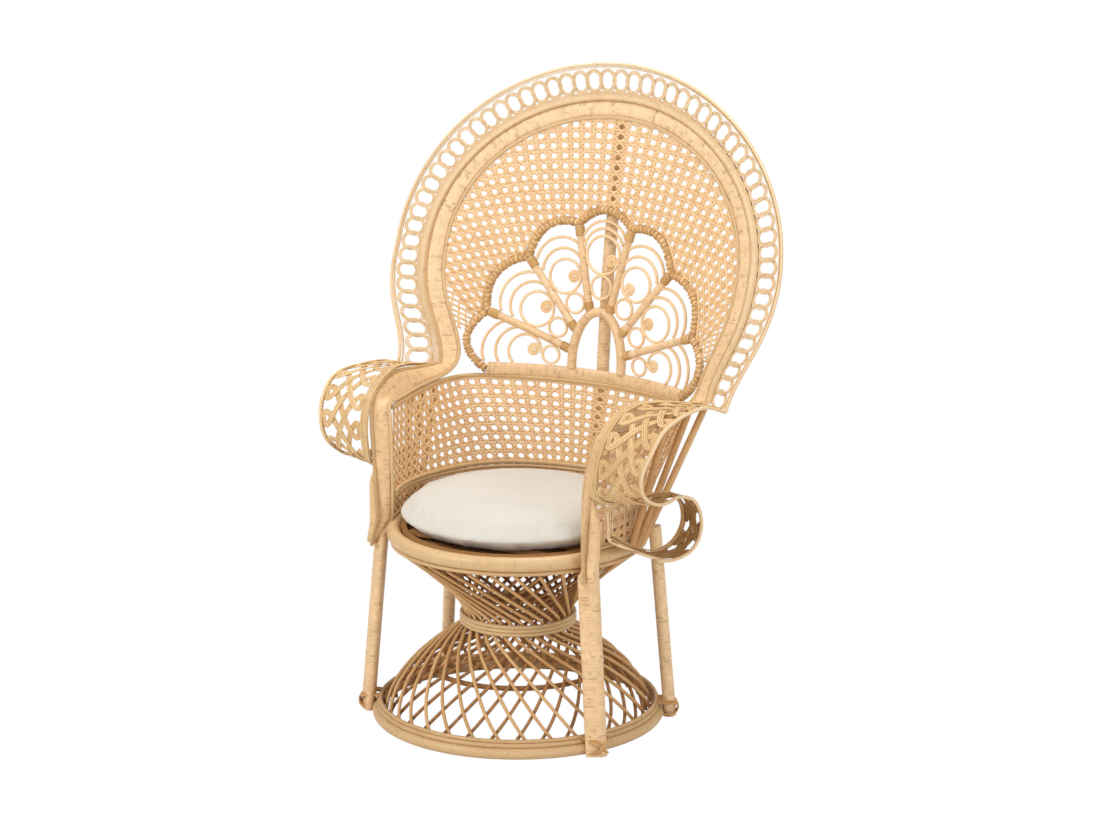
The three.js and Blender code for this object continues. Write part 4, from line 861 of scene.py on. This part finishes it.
for petal in range(7):
    share = np.linspace(0.01, 0.99, 80)
    low, high = petalBounds[petal], petalBounds[petal + 1]
    path = fanPoint(low + (high - low) * share, scallopRadius(petal, share))
    meshOf(f"scallop_wrap_{petal + 1}", [wrappedRun(path, fan["scallopCane"] - 0.2, 3.0, front)],
           wrappedPeel, "chair", [f"fan_scallop_{petal + 1}"])
    laced = lacedRuns(path, fan["scallopCane"] + 0.2, lace["every"], lace["strand"], lace["turns"])
    meshOf(f"scallop_lacing_{petal + 1}", laced, lacing, "chair", [])
    radius, size, half = petalCircle(petal)
    circle = np.linspace(0, 2 * np.pi, 72, endpoint=False)
    runs = []
    if petal in (0, 6):
        runs.append(caneRun(clippedArc(petal, radius, size, 0, 0), fan["thin"], front,
                            spacing=4.0, knots=0.0))
    else:
        runs.append(caneRun(petalPoint(petal, radius + size * np.cos(circle),
                            size * np.sin(circle)), fan["thin"], front, closed=True,
                            spacing=4.0, knots=0.0))
    start = radius - size
    sine = math.sin(half)
    small = (start * sine - fan["spokeCane"] - fan["thin"] - 0.3) / (1 + sine)
    middle = start - small - fan["thin"] * 2 + 3
    runs.append(caneRun(petalPoint(petal, middle + small * np.cos(circle),
                        small * np.sin(circle)), fan["thin"] - 0.2, front, closed=True,
                        spacing=3.0, knots=0.0))
    way = coilAngles[petal] * degrees
    reach = size - fan["coil"] - fan["thin"] + 3
    share = np.linspace(0, 1, 200)
    angle = way - (1 - share) * 2.9 * 2 * np.pi
    spiral = fan["eye"] - 1 + (fan["coil"] - fan["coilCane"] - fan["eye"] + 1) * share
    path = petalPoint(petal, radius + reach * math.cos(way) + spiral * np.cos(angle),
                      reach * math.sin(way) + spiral * np.sin(angle), -1.5 + 2.0 * share)
    runs.append(caneRun(path, 2.5, front, sides=8, spacing=2.0, knots=0.0))
    meshOf(f"petal_scroll_{petal + 1}", runs, thinCore, "chair", [f"fan_scroll_{petal + 1}"])

# The plinth is a board wound across with peel.
share = np.linspace(0, 1, 300)
plinthX = (2 * share - 1) * (fan["plinthHalf"] + 8)
meshOf("plinth_wrap", [bandRun(onSheet(plinthX, np.full(300, plinthBottom - 1.8)),
       onSheet(plinthX, np.full(300, float(fan["plinthTop"]))), 8.4, 2.8)], wrappedPeel, "chair",
       ["fan_plinth"])
print("fan done")


# Back webbing: columns lean in towards a point near the seat, rows droop to the sides
caning = {"column": 25.5, "row": 23.0, "middle": 1155, "focus": 445, "droop": 0.00036}


def backPlace(u, v, off):
    z0 = caning["middle"] + v * caning["row"]
    x = u * caning["column"] * (z0 - caning["focus"]) / (caning["middle"] - caning["focus"])
    z = z0 - caning["droop"] * x ** 2
    return onSheet(x, z, -np.asarray(off, float))


def backInside(u, v):
    spot = backPlace(u, v, 0.0)
    x, z = spot[:, 0], spot[:, 2]
    climb = np.clip((z - back["centreHeight"]) / (back["rise"] - innerInset), 0, 1.2)
    half = np.where(z > back["centreHeight"], (back["halfWidth"] - innerInset)
                    * np.sqrt(np.clip(1 - climb ** 2, 0, 1)), archHalfWidth(z, innerInset))
    angle = np.degrees(np.arctan2(x, z - fan["hub"]))
    distance = np.hypot(x, z - fan["hub"])
    edge = np.full(x.shape, 1e6)
    for petal in range(7):
        low, high = petalBounds[petal], petalBounds[petal + 1]
        share = (angle - low) / (high - low)
        mine = (share >= 0) & (share <= 1)
        edge = np.where(mine, scallopRadius(petal, share) + 2, edge)
    return (np.abs(x) < half) & (distance > edge) & (np.abs(angle) < 79.5) & (climb < 1)


meshOf("back_caning", caningRuns(backPlace, backInside, (-20, 20), (-18, 8), 5.6, 1.1),
       webbingPeel, "chair", ["back_webbing"])


# Gallery webbing: columns even along the wall, rows down from the rail.
galleryRow = 20.0
galleryColumn = 25.5
wallLow = galleryBottom + gallery["footCane"] - 2
wallHigh = gallery["rail"] - gallery["railCane"] + 3
midWall = galleryWall(fineShares, np.full(400, 600.0))
midRun = lengthAlong(midWall)


def wallPlace(u, v, off):
    share = np.interp(midRun[-1] / 2 + u * galleryColumn, midRun, fineShares)
    z = np.clip(wallHigh + v * galleryRow, wallLow, wallHigh)
    return galleryWall(share, z, -np.asarray(off, float))


def wallInside(u, v):
    run = midRun[-1] / 2 + u * galleryColumn
    z = wallHigh + v * galleryRow
    return (run > 18) & (run < midRun[-1] - 18) & (z >= wallLow - 8) & (z <= wallHigh)


meshOf("gallery_caning", caningRuns(wallPlace, wallInside, (-28, 28), (-13, 0), 5.2, 1.0),
       webbingPeel, "chair", ["gallery_webbing"])
print("webbing done")


# Post, legs and struts.
post = {"radius": 15, "flat": 13.86, "top": 1330, "strand": 3.2}
postOff = post["radius"] + fan["hubCane"] + 0.3
postTopOff = post["flat"] + band["bead"] + 0.3
postLow = seatOutside + post["flat"] + 0.3
postPoints = [[0, postLow, seat["height"] - seat["cane"]], [0, postLow, seat["height"] + 17]]
for z in (gallery["rail"], fan["hub"], back["centreHeight"]):
    postPoints.append([0, sheetDepth(0, z) + postOff, z])
postPoints.append([0, sheetDepth(0, post["top"]) + postTopOff, post["top"]])
sideways = np.array([1.0, 0, 0])
meshOf("back_post_wrap", [wrappedRun(splineAt(postPoints, fineShares), post["radius"] - 0.6,
       post["strand"], sideways, sides=16)], wrappedPeel, "chair", ["back_post"])

leg = {"radius": 15, "companion": 6, "front": -26, "rear": 28, "frontTop": 522,
       "companionReach": 9.0, "apart": 3.5, "skin": 0.6, "joins": 440, "joinsOver": 45}


def hoopReach(radius, facets, angle):
    step = 2 * math.pi / facets
    turn = angle % step - step / 2
    return radius * math.cos(step / 2) / math.cos(turn)


ringEdge = ringFlat + base["cane"] * math.sin(math.pi / 8)
legSide = leg["radius"] * math.cos(math.pi / 8) + 0.6
leanAtRing = (base["radius"] - seat["radius"]) * ringEdge / seat["height"]


def footRadius(angle):
    return hoopReach(base["radius"] + ringFlat, 32, angle) + legSide + leanAtRing


def kneeRadius(angle):
    return hoopReach(seatOutside, 32, angle) + legSide


def atAngle(radius, angle, z):
    return np.array([radius * math.cos(angle), radius * math.sin(angle), z])


footLift = leg["radius"] * (base["radius"] - seat["radius"]) / seat["height"]
frontAngle, rearAngle = leg["front"] * degrees, leg["rear"] * degrees
knee = atAngle(kneeRadius(frontAngle), frontAngle, seat["height"])
tip = np.array([knee[0] + leg["companion"], knee[1] + leg["radius"] / 2, leg["frontTop"]])
frontPath = smoothed(evenly(np.array([atAngle(footRadius(frontAngle), frontAngle, footLift),
                                      knee, tip]), 6.0), 4)
rearPath = evenly(np.array([atAngle(footRadius(rearAngle), rearAngle, footLift),
                            atAngle(kneeRadius(rearAngle), rearAngle, seatTop)]), 6.0)
rearRun = wrappedRun(rearPath, leg["radius"] - 0.7, 3.0, sideways, sides=16)
for side, piece in (("right", rearRun), ("left", mirroredRun(rearRun))):
    meshOf(f"leg_rear_{side}_wrap", [piece], wrappedPeel, "chair", [f"leg_rear_{side}"])


# A front leg and its thinner companion are wrapped as one, so the section is the hull of two
# circles: in each direction it reaches as far as the farther circle. Above the seat the
# companion has ended, and the section closes to the leg's own circle.
def pairedLeg(path, strand=3.0, sides=28, ridge=0.4):
    turns = int(lengthAlong(path)[-1] / strand)
    fine = evenly(path, count=turns * strandStations + 1)
    turn = np.arange(len(fine)) / strandStations
    swell = np.sqrt(np.abs(np.sin(np.pi * turn)))
    swell += rng.normal(0, 0.14, turns + 2)[turn.astype(int)]
    angle = np.arange(sides) / sides * 2 * np.pi
    direction = np.stack([np.cos(angle), np.sin(angle)], -1)
    share = np.clip((leg["joins"] - fine[:, 2]) / leg["joinsOver"], 0, 1)[:, None]
    away = leg["radius"] * math.cos(math.pi / 8) + leg["companion"] + leg["apart"]
    centre = np.stack([away * share[:, 0], -leg["companion"] * share[:, 0]], -1)
    farReach = centre @ direction.T + leg["companionReach"]
    nearReach = leg["radius"] + leg["skin"]
    far = farReach > nearReach
    farPoint = centre[:, None] + leg["companionReach"] * direction[None]
    section = np.where(far[..., None], farPoint,
                       nearReach * direction[None])
    section = section + direction[None] * (ridge * (swell - 0.6))[:, None, None]
    aside = np.array([math.sin(frontAngle), -math.cos(frontAngle), 0])
    outward = np.array([math.cos(frontAngle), math.sin(frontAngle), 0])
    rings = fine[:, None] + section[..., :1] * aside + section[..., 1:] * outward
    return rings[None, :, ::-1], False, [rng.random()], turn[None]


run = pairedLeg(frontPath)
for side, piece in (("right", run), ("left", mirroredRun(run))):
    meshOf(f"leg_front_{side}_wrap", [piece], wrappedPeel, "chair",
           [f"leg_front_{side}", f"leg_companion_{side}"])

strut = {"radius": 8, "angles": (-2, 2.6, 7.5), "tops": (0.81, 0.9, 0.985)}
for i in range(3):
    angle = strut["angles"][i] * degrees
    foot = atAngle(hoopReach(seatOutside, 32, angle) + strut["radius"] + 0.3, angle,
                   seat["height"])
    edge = splineAt(armOuterPoints, np.array([strut["tops"][i]]))[0]
    top = edge - [0, 0, band["bead"] + strut["radius"] + 0.6]
    run = caneRun(evenly(np.array([foot, top]), 10.0), strut["radius"] - 0.3, sideways, sides=12,
                  spacing=6.0, knots=0.06)
    for side, piece in (("right", run), ("left", mirroredRun(run))):
        meshOf(f"strut_{i + 1}_{side}_cane", [piece], roundCore, "chair",
               [f"arm_strut_{i + 1}_{side}"])
print("poles done")


# Lashings: strands cross over each leg's foot and pass behind the floor ring
binding = {"turns": 5, "strand": 1.6, "pitch": 2.7, "height": 23, "rise": 18, "lowest": 2.0}


def lashedFoot(angle, wide, shift):
    outward = np.array([math.cos(angle), math.sin(angle), 0.0])
    along = np.array([math.sin(angle), -math.cos(angle), 0.0])
    inside, outside = base["radius"] - base["cane"] - 2, footRadius(angle) + leg["radius"] + 1.5
    middle, reach = (inside + outside) / 2, (outside - inside) / 2
    turn = np.linspace(0, 2 * np.pi, 64, endpoint=False)
    full = np.sign(np.cos(turn)) * np.abs(np.cos(turn)) ** 0.6
    tall = np.sign(np.sin(turn)) * np.abs(np.sin(turn)) ** 0.7
    runs = []
    for way in (-1, 1):
        for k in range(binding["turns"]):
            across = shift + way * wide * np.sin(turn) + (k - 2) * binding["pitch"]
            height = binding["height"] + tall * (binding["rise"] - 1.2 * k) + rng.normal(0, 0.6)
            path = (outward * (middle + (reach + 0.5 * k) * full)[:, None]
                    + along * across[:, None] + up * height[:, None])
            path[:, 2] = np.maximum(path[:, 2], binding["lowest"])
            runs.append(caneRun(path, binding["strand"], up, sides=6, closed=True, spacing=4.0,
                                knots=0.1))
    return runs


for part, angle, wide, shift in (("front", frontAngle, 19.0, 5.0), ("rear", rearAngle, 16.0, 0.0)):
    runs = lashedFoot(angle, wide, shift)
    for side, group in (("right", runs), ("left", [mirroredRun(r) for r in runs])):
        meshOf(f"lashing_{part}_{side}_strands", group, raffia, "chair",
               [f"lashing_{part}_{side}"])
print("lashings done")


# The pierced border: overlapping rings of three strands between two flat rails
rings = {"count": 57, "wide": 39, "tall": 46, "strand": 3.0, "thickness": 1.6, "lap": 1.7}
edgeRails = {"insets": (2.0, -1.2, -4.6, -8.1, -11.6), "off": 3.4, "width": 3.5, "thickness": 1.6,
             "farInset": -68.6, "farWidth": 3.0, "farThickness": 2.0}
edgeShares = np.linspace(0, 1, 2400)
middleInset = -37.5
borderRun = lengthAlong(archPoint(edgeShares, middleInset))


def borderPlace(run, inset, off):
    share = np.interp(run, borderRun, edgeShares)
    return archPoint(share, inset, off)


ringRuns = []
pitch = borderRun[-1] / rings["count"]
for k in range(rings["count"]):
    turn = np.linspace(0, 2 * np.pi, 40, endpoint=False)
    centre = (k + 0.5) * pitch
    for strand in (-1, 0, 1):
        grow = strand * rings["strand"]
        across = (rings["wide"] / 2 + grow) * np.cos(turn)
        rise = (rings["tall"] / 2 + grow) * np.sin(turn)
        run = np.clip(centre + across, 1.0, borderRun[-1] - 1.0)
        off = -rings["lap"] * np.cos(turn)
        path = borderPlace(run, middleInset + rise, off)
        lift = borderPlace(run, middleInset + rise, off - 1.0) - path
        profile = flatProfile(rings["strand"] * 0.94, rings["thickness"], 6)
        made = ringsAlong(path, lift[None], profile, closed=True)
        ringRuns.append((made, True, [rng.random()], np.arange(40)[None] * 0.2))


def flatRails(insets, off, width, thickness):
    made = []
    for inset in insets:
        share = np.linspace(0.001, 0.999, 900)
        path = archPoint(share, inset, off)
        lift = archPoint(share, inset, off - 1.0) - path
        rail = ringsAlong(path, lift[None], flatProfile(width, thickness, 6))
        made.append((rail, False, [rng.random()], np.arange(900)[None] * 0.2))
    return made


for off in (-edgeRails["off"], edgeRails["off"]):
    ringRuns += flatRails(edgeRails["insets"], off, edgeRails["width"], edgeRails["thickness"])
    ringRuns += flatRails((edgeRails["farInset"],), off * 0.5, edgeRails["farWidth"],
                          edgeRails["farThickness"])
meshOf("border_rings", ringRuns, paleCore, "chair", ["border_weave"])
print("border done")


# The arms' wings: a strip that rolls forward over the arm and curls down behind it
wingRimShares = [[1.3, 0.62, 0.993], [1.315, 0.06, 1.003], [1.333, -0.37, 1],
                 [1.324, -0.66, 0.981], [1.306, -0.91, 0.927], [1.273, -1.02, 0.873],
                 [1.25, -0.97, 0.824], [1.227, -0.74, 0.779], [1.23, -0.44, 0.75],
                 [1.218, -0.12, 0.742], [1.21, 0.18, 0.742], [1.245, 0.42, 0.724],
                 [1.267, 0.53, 0.687], [1.28, 0.53, 0.63], [1.24, 0.43, 0.571],
                 [1.148, 0.14, 0.547], [1.073, -0.12, 0.568], [0.99, -0.4, 0.6],
                 [0.93, -0.73, 0.645]]
wingInnerShares = [[1.106, 0.94, 0.98], [1.033, 0.22, 1.01], [0.988, -0.22, 1.016],
                   [0.964, -0.56, 1.0], [0.95, -0.85, 0.957], [0.935, -1.0, 0.9],
                   [0.92, -1.04, 0.847], [0.91, -0.98, 0.787], [0.95, -0.69, 0.749],
                   [1.0, -0.12, 0.74], [1.045, 0.18, 0.742], [1.067, 0.48, 0.728],
                   [1.085, 0.7, 0.687], [1.09, 0.73, 0.63], [1.06, 0.62, 0.58],
                   [1.015, 0.32, 0.557], [0.985, 0, 0.575], [0.95, -0.28, 0.603],
                   [0.918, -0.56, 0.64]]
rimReturnShares = [[0.927, -0.735, 0.68], [0.918, -0.73, 0.72]]
wingRimPoints = np.vstack([archPoint(np.array([1.0]), -border["width"]),
                           armPlace(wingRimShares)])
wingInnerPoints = np.vstack([archPoint(np.array([1.0]), -band["bead"]),
                             armPlace(wingInnerShares)])
wingShares = np.linspace(0, 1, 1500)
wingRimLine = splineAt(wingRimPoints, wingShares)
wingInnerLine = splineAt(wingInnerPoints, wingShares)
wingMiddleRun = lengthAlong((wingRimLine + wingInnerLine) / 2)


def wingPlace(run, across, off):
    share = np.interp(run, wingMiddleRun, wingShares)
    inner = np.stack([np.interp(share, wingShares, wingInnerLine[:, k]) for k in range(3)], -1)
    outer = np.stack([np.interp(share, wingShares, wingRimLine[:, k]) for k in range(3)], -1)
    ahead = []
    for line in (wingInnerLine, wingRimLine):
        slope = np.gradient(line, axis=0)
        ahead.append(np.stack([np.interp(share, wingShares, slope[:, k]) for k in range(3)], -1))
    across = np.asarray(across, float)[..., None]
    along = ahead[0] * (1 - across) + ahead[1] * across
    normal = unit(np.cross(along, outer - inner))
    return inner + (outer - inner) * across + normal * np.asarray(off, float)[..., None]


wing = {"ribbons": 3, "period": 192, "loops": 36, "strand": 4.7, "thickness": 1.9, "over": 1.5,
        "innerEdges": (-0.12, -0.085, -0.05, -0.015, 0.02), "rimEdge": 0.965, "edgeOff": 2.4,
        "turnShare": 0.475, "margin": 4}


# Three ribbons of three flat strands swing across the strip one after another, make a loop at
# each edge, and pass over and under each other.
def wingRuns(runFrom, runTo, acrossFrom=0.07, acrossTo=0.93):
    made = []
    lead = wing["period"] / 2
    phase = np.linspace(0, 2 * np.pi * (runTo - runFrom + 2 * lead) / wing["period"], 620)
    for ribbon in range(wing["ribbons"]):
        turned = phase + 2 * np.pi * ribbon / wing["ribbons"]
        middle = (runFrom - lead + wing["period"] * phase / (2 * np.pi)
                  - wing["loops"] * np.sin(2 * turned))
        across = acrossFrom + (acrossTo - acrossFrom) * (0.5 - 0.5 * np.cos(turned))
        height = (wing["over"] * np.tanh(2.5 * np.cos(3 * turned)) * np.tanh(6 * np.sin(turned)))
        inside = (middle > runFrom) & (middle < runTo)
        edges = np.flatnonzero(np.diff(np.concatenate([[0], inside.astype(int), [0]])))
        place = wingPlace(np.clip(middle, 0, wingMiddleRun[-1]), across, height)
        lift = wingPlace(np.clip(middle, 0, wingMiddleRun[-1]), across, height + 4.0) - place
        side = unit(np.cross(unit(np.gradient(place, axis=0)), unit(lift)))
        for strand in (-1, 0, 1):
            path = place + side * (strand * wing["strand"])
            for a, b in zip(edges[::2], edges[1::2]):
                if b - a < 4:
                    continue
                rail = ringsAlong(path[a:b], lift[None, a:b],
                                  flatProfile(wing["strand"] * 0.95, wing["thickness"], 6))
                made.append((rail, False, [rng.random()], np.arange(b - a)[None] * 0.2))
    return made


def edgeRibbons(run, places, off):
    made = []
    for across in places:
        path = wingPlace(run, np.full(run.shape, across), np.full(run.shape, off))
        lift = wingPlace(run, np.full(run.shape, across), np.full(run.shape, off + 4.0)) - path
        rail = ringsAlong(path, lift[None], flatProfile(3.2, 1.5, 6))
        made.append((rail, False, [rng.random()], np.arange(len(run))[None] * 0.2))
    return made


wingEnd = wingMiddleRun[-1]
alongRun = np.linspace(2, wingEnd - 2, 700)
# The underside and the curl below it take shadedWing, a darker copy of the wing's colour, as painted
# shade.
wingTurn = wingMiddleRun[int(wing["turnShare"] * len(wingShares))]
upperWing = wingRuns(wing["margin"], wingTurn)
lowerWing = wingRuns(wingTurn, wingEnd - wing["margin"])
for off in (-wing["edgeOff"], wing["edgeOff"]):
    upperWing += edgeRibbons(alongRun, wing["innerEdges"], off)
    upperWing += edgeRibbons(alongRun, (wing["rimEdge"],), off)
for side in ("right", "left"):
    upper, lower = upperWing, lowerWing
    if side == "left":
        upper, lower = [mirroredRun(r) for r in upperWing], [mirroredRun(r) for r in lowerWing]
    meshOf(f"wing_weave_{side}_strands", upper, wingCore, "chair", [f"wing_weave_{side}"])
    meshOf(f"wing_curl_{side}_strands", lower, shadedWing, "chair", [])

rimEnds = armPlace(rimReturnShares[::-1])
rimArmPoints = np.vstack([rimEnds, wingRimPoints[::-1]])
rimSide = splineAt(rimArmPoints, np.linspace(0, 1, 900))
rimOver = archPoint(1 - np.linspace(0, 1, 1200), -border["width"])
rimPath = smoothed(np.vstack([rimSide[:-1], rimOver, (rimSide * flip)[::-1][1:]]), 3)
meshOf("rim_wrap", [wrappedRun(rimPath, 3.6, 3.4, beadLift, sides=10)], paleCore, "chair",
       ["outer_rim"])
print("wings done")


# The cushion: two rounds of linen joined low on the side, blown up gently and let wrinkle
pad = {"radius": 271, "height": 78, "seam": 27, "flat": 3.2, "round": 0.62, "cap": 0.009,
       "pressure": 4.0, "stiffness": 12, "frames": 20, "mesh": 0.0055}
linen, linenTree, linenShader = newMaterial("cream linen")
linenPlace = addNode(linenTree, "ShaderNodeTexCoord").outputs["Object"]
slub = addNode(linenTree, "ShaderNodeTexNoise", {}, {"Scale": 260.0, "Detail": 3.0},
               {"Vector": linenPlace}).outputs["Fac"]
shadeSlow = addNode(linenTree, "ShaderNodeTexNoise", {}, {"Scale": 9.0, "Detail": 3.0},
                    {"Vector": linenPlace}).outputs["Fac"]
linenColour = addNode(linenTree, "ShaderNodeMix", {"data_type": "RGBA"},
                      {6: linearColour("#cfcbc2"), 7: linearColour("#c4beb2")}, {0: shadeSlow})
linenTree.links.new(linenColour.outputs[2], linenShader.inputs["Base Color"])
linenShader.inputs["Roughness"].default_value = 0.9
linenShader.inputs["Sheen Weight"].default_value = 0.25
linenBump = addNode(linenTree, "ShaderNodeBump", {}, {"Strength": 0.35, "Distance": 0.0006},
                    {"Height": slub})
linenTree.links.new(linenBump.outputs[0], linenShader.inputs["Normal"])


def padBody():
    count, levels = 120, 15
    bottom = seatTop + 0.3
    rows = []
    reach = np.sin(np.linspace(0, np.pi / 2, levels))
    for share in reach[1:]:
        rows.append((pad["radius"] * share, bottom + pad["seam"] * share ** 7))
    for share in reach[::-1][1:-1]:
        climb = (1 - share ** pad["flat"]) ** pad["round"]
        rise = (pad["height"] - pad["seam"]) * climb
        rows.append((pad["radius"] * share, bottom + pad["seam"] + rise))
    angle = np.arange(count) * 2 * np.pi / count
    points = [np.stack([r * np.cos(angle), r * np.sin(angle), np.full(count, z)], -1)
              for r, z in rows]
    points = np.concatenate(points)
    a = np.arange((len(rows) - 1) * count).reshape(len(rows) - 1, count)
    b = np.roll(a, -1, axis=1)
    quads = np.stack([a, b, b + count, a + count], -1).reshape(-1, 4)
    last = (len(rows) - 1) * count
    floor = list(range(count))[::-1]
    crown = [last + k for k in range(count)]
    placed = (points / 1000) + originShift
    mesh = bpy.data.meshes.new("seat_cushion_cloth")
    mesh.from_pydata(placed.tolist(), [], quads.tolist() + [floor, crown])
    mesh.update()
    piece = bpy.data.objects.new("seat_cushion_cloth", mesh)
    bpy.context.scene.collection.objects.link(piece)
    return piece


def positions(mesh):
    flatList = np.empty(len(mesh.vertices) * 3, dtype=np.float32)
    mesh.vertices.foreach_get("co", flatList)
    return flatList.reshape(-1, 3).astype(float)


def setPositions(mesh, points):
    mesh.vertices.foreach_set("co", points.astype(np.float32).ravel())
    mesh.update()


def applied(piece):
    depsgraph = bpy.context.evaluated_depsgraph_get()
    mesh = bpy.data.meshes.new_from_object(piece.evaluated_get(depsgraph))
    piece.modifiers.clear()
    piece.data = mesh


cushion = padBody()
remesh = cushion.modifiers.new("even", "REMESH")
remesh.mode, remesh.voxel_size = "VOXEL", pad["mesh"]
applied(cushion)
before = positions(cushion.data)
cloth = cushion.modifiers.new("cloth", "CLOTH")
cloth.settings.use_pressure = True
cloth.settings.uniform_pressure_force = pad["pressure"]
cloth.settings.effector_weights.gravity = 0.0
cloth.settings.quality = 5
cloth.settings.tension_stiffness = pad["stiffness"]
cloth.settings.compression_stiffness = pad["stiffness"]
for number in range(1, pad["frames"] + 1):
    bpy.context.scene.frame_set(number)
applied(cushion)
bpy.context.scene.frame_set(1)
after = positions(cushion.data)
moved = after - before
length = np.linalg.norm(moved, axis=1, keepdims=True)
print("cloth moved up to", round(float(length.max()), 4))
after = before + moved * np.minimum(1, pad["cap"] / np.maximum(length, 1e-9))
setPositions(cushion.data, after)
cushionLow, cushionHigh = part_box("seat_cushion")
points = positions(cushion.data)
points[:, 2] = np.clip(points[:, 2], cushionLow[2], cushionHigh[2] + 0.004)
setPositions(cushion.data, points)
fine = cushion.modifiers.new("fine", "SUBSURF")
fine.levels = fine.render_levels = 1
cushion.data.shade_smooth()
cushion.data.materials.append(linen)
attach(cushion, "cushion")
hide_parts("seat_cushion")
print("cushion done")


# Floor, light and camera.
# The photograph's ground is plain white: the eye sees white, and the chair gets its bounce.
def stageMaterial(name):
    material, tree, shader = newMaterial(name)
    shader.inputs["Base Color"].default_value = linearColour("#f2f0ec")
    shader.inputs["Roughness"].default_value = 0.9
    seen = addNode(tree, "ShaderNodeLightPath")
    glow = addNode(tree, "ShaderNodeEmission", {}, {"Color": (1, 1, 1, 1), "Strength": 1.0})
    lit = addNode(tree, "ShaderNodeMixShader", {}, {}, {0: seen.outputs["Is Camera Ray"],
                  1: shader.outputs[0], 2: glow.outputs[0]})
    tree.links.new(lit.outputs[0], tree.nodes["Material Output"].inputs["Surface"])
    return material


def quadObject(name, corners, material):
    mesh = bpy.data.meshes.new(name)
    mesh.from_pydata(corners, [], [(0, 1, 2, 3)])
    mesh.materials.append(material)
    piece = bpy.data.objects.new(name, mesh)
    bpy.context.scene.collection.objects.link(piece)
    return piece


quadObject("floor", [(-9, -9, -0.0005), (9, -9, -0.0005), (9, 9, -0.0005), (-9, 9, -0.0005)],
           stageMaterial("white paper floor"))

world = bpy.data.worlds.new("studio")
bpy.context.scene.world = world
world.use_nodes = True
worldTree = world.node_tree
background = worldTree.nodes["Background"]
pathNode = addNode(worldTree, "ShaderNodeLightPath")
seenWhite = addNode(worldTree, "ShaderNodeBackground", {}, {"Color": (1, 1, 1, 1),
                                                           "Strength": 1.0})
background.inputs["Color"].default_value = (1, 1, 1, 1)
background.inputs["Strength"].default_value = 0.55
worldMix = addNode(worldTree, "ShaderNodeMixShader", {}, {}, {0: pathNode.outputs["Is Camera Ray"],
                   1: background.outputs[0], 2: seenWhite.outputs[0]})
worldTree.links.new(worldMix.outputs[0], worldTree.nodes["World Output"].inputs["Surface"])


def areaLight(name, place, aim, size, power, colour):
    data = bpy.data.lights.new(name, "AREA")
    data.shape, data.size, data.energy, data.color = "DISK", size, power, colour
    lamp = bpy.data.objects.new(name, data)
    bpy.context.scene.collection.objects.link(lamp)
    reach = np.array(aim, float) - np.array(place, float)
    z = -unit(reach)
    x = unit(np.cross([0, 0, 1.0], z))
    y = np.cross(z, x)
    matrix = np.eye(4)
    matrix[:3, 0], matrix[:3, 1], matrix[:3, 2], matrix[:3, 3] = x, y, z, place
    lamp.matrix_world = Matrix(matrix.tolist())
    return lamp


areaLight("key", (-1.6, -3.4, 3.2), (0, 0, 0.7), 1.6, 90, (1.0, 0.98, 0.95))
areaLight("fill", (3.6, -1.8, 2.0), (0, 0, 0.7), 2.4, 45, (0.97, 0.98, 1.0))
areaLight("top", (0.2, 0.6, 3.8), (0, 0, 0.6), 2.0, 60, (1.0, 1.0, 1.0))

# The camera that was fitted to the photograph: its axes, and its place from the aim point.
cam = {"azimuth": 32.0966, "elevation": 13.9626, "distance": 23.0269 * 330,
       "shiftRight": 0.24426 * 330, "shiftUp": -0.08936 * 330, "focal": 3432.596,
       "centre": (554.0, 413.95), "photo": (1100, 824), "aim": 726}
az, el = cam["azimuth"] * degrees, cam["elevation"] * degrees
camForward = np.array([-math.sin(az) * math.cos(el), math.cos(az) * math.cos(el),
                       -math.sin(el)])
camRight = np.array([math.cos(az), math.sin(az), 0])
camUp = np.cross(camRight, camForward)
camPlace = (np.array([0, 0, cam["aim"]]) - cam["distance"] * camForward
            + cam["shiftRight"] * camRight + cam["shiftUp"] * camUp) / 1000 + originShift
cameraData = bpy.data.cameras.new("camera")
cameraData.sensor_width = 36
cameraData.lens = 36 * cam["focal"] / cam["photo"][0]
cameraData.shift_x = (cam["photo"][0] / 2 - cam["centre"][0]) / cam["photo"][0]
cameraData.shift_y = (cam["centre"][1] - cam["photo"][1] / 2) / cam["photo"][0]
cameraData.clip_start, cameraData.clip_end = 0.1, 50
camera = bpy.data.objects.new("camera", cameraData)
bpy.context.scene.collection.objects.link(camera)
matrix = np.eye(4)
matrix[:3, 0], matrix[:3, 1], matrix[:3, 2], matrix[:3, 3] = camRight, camUp, -camForward, camPlace
camera.matrix_world = Matrix(matrix.tolist())
bpy.context.scene.camera = camera
bpy.context.scene.view_settings.view_transform = "Standard"
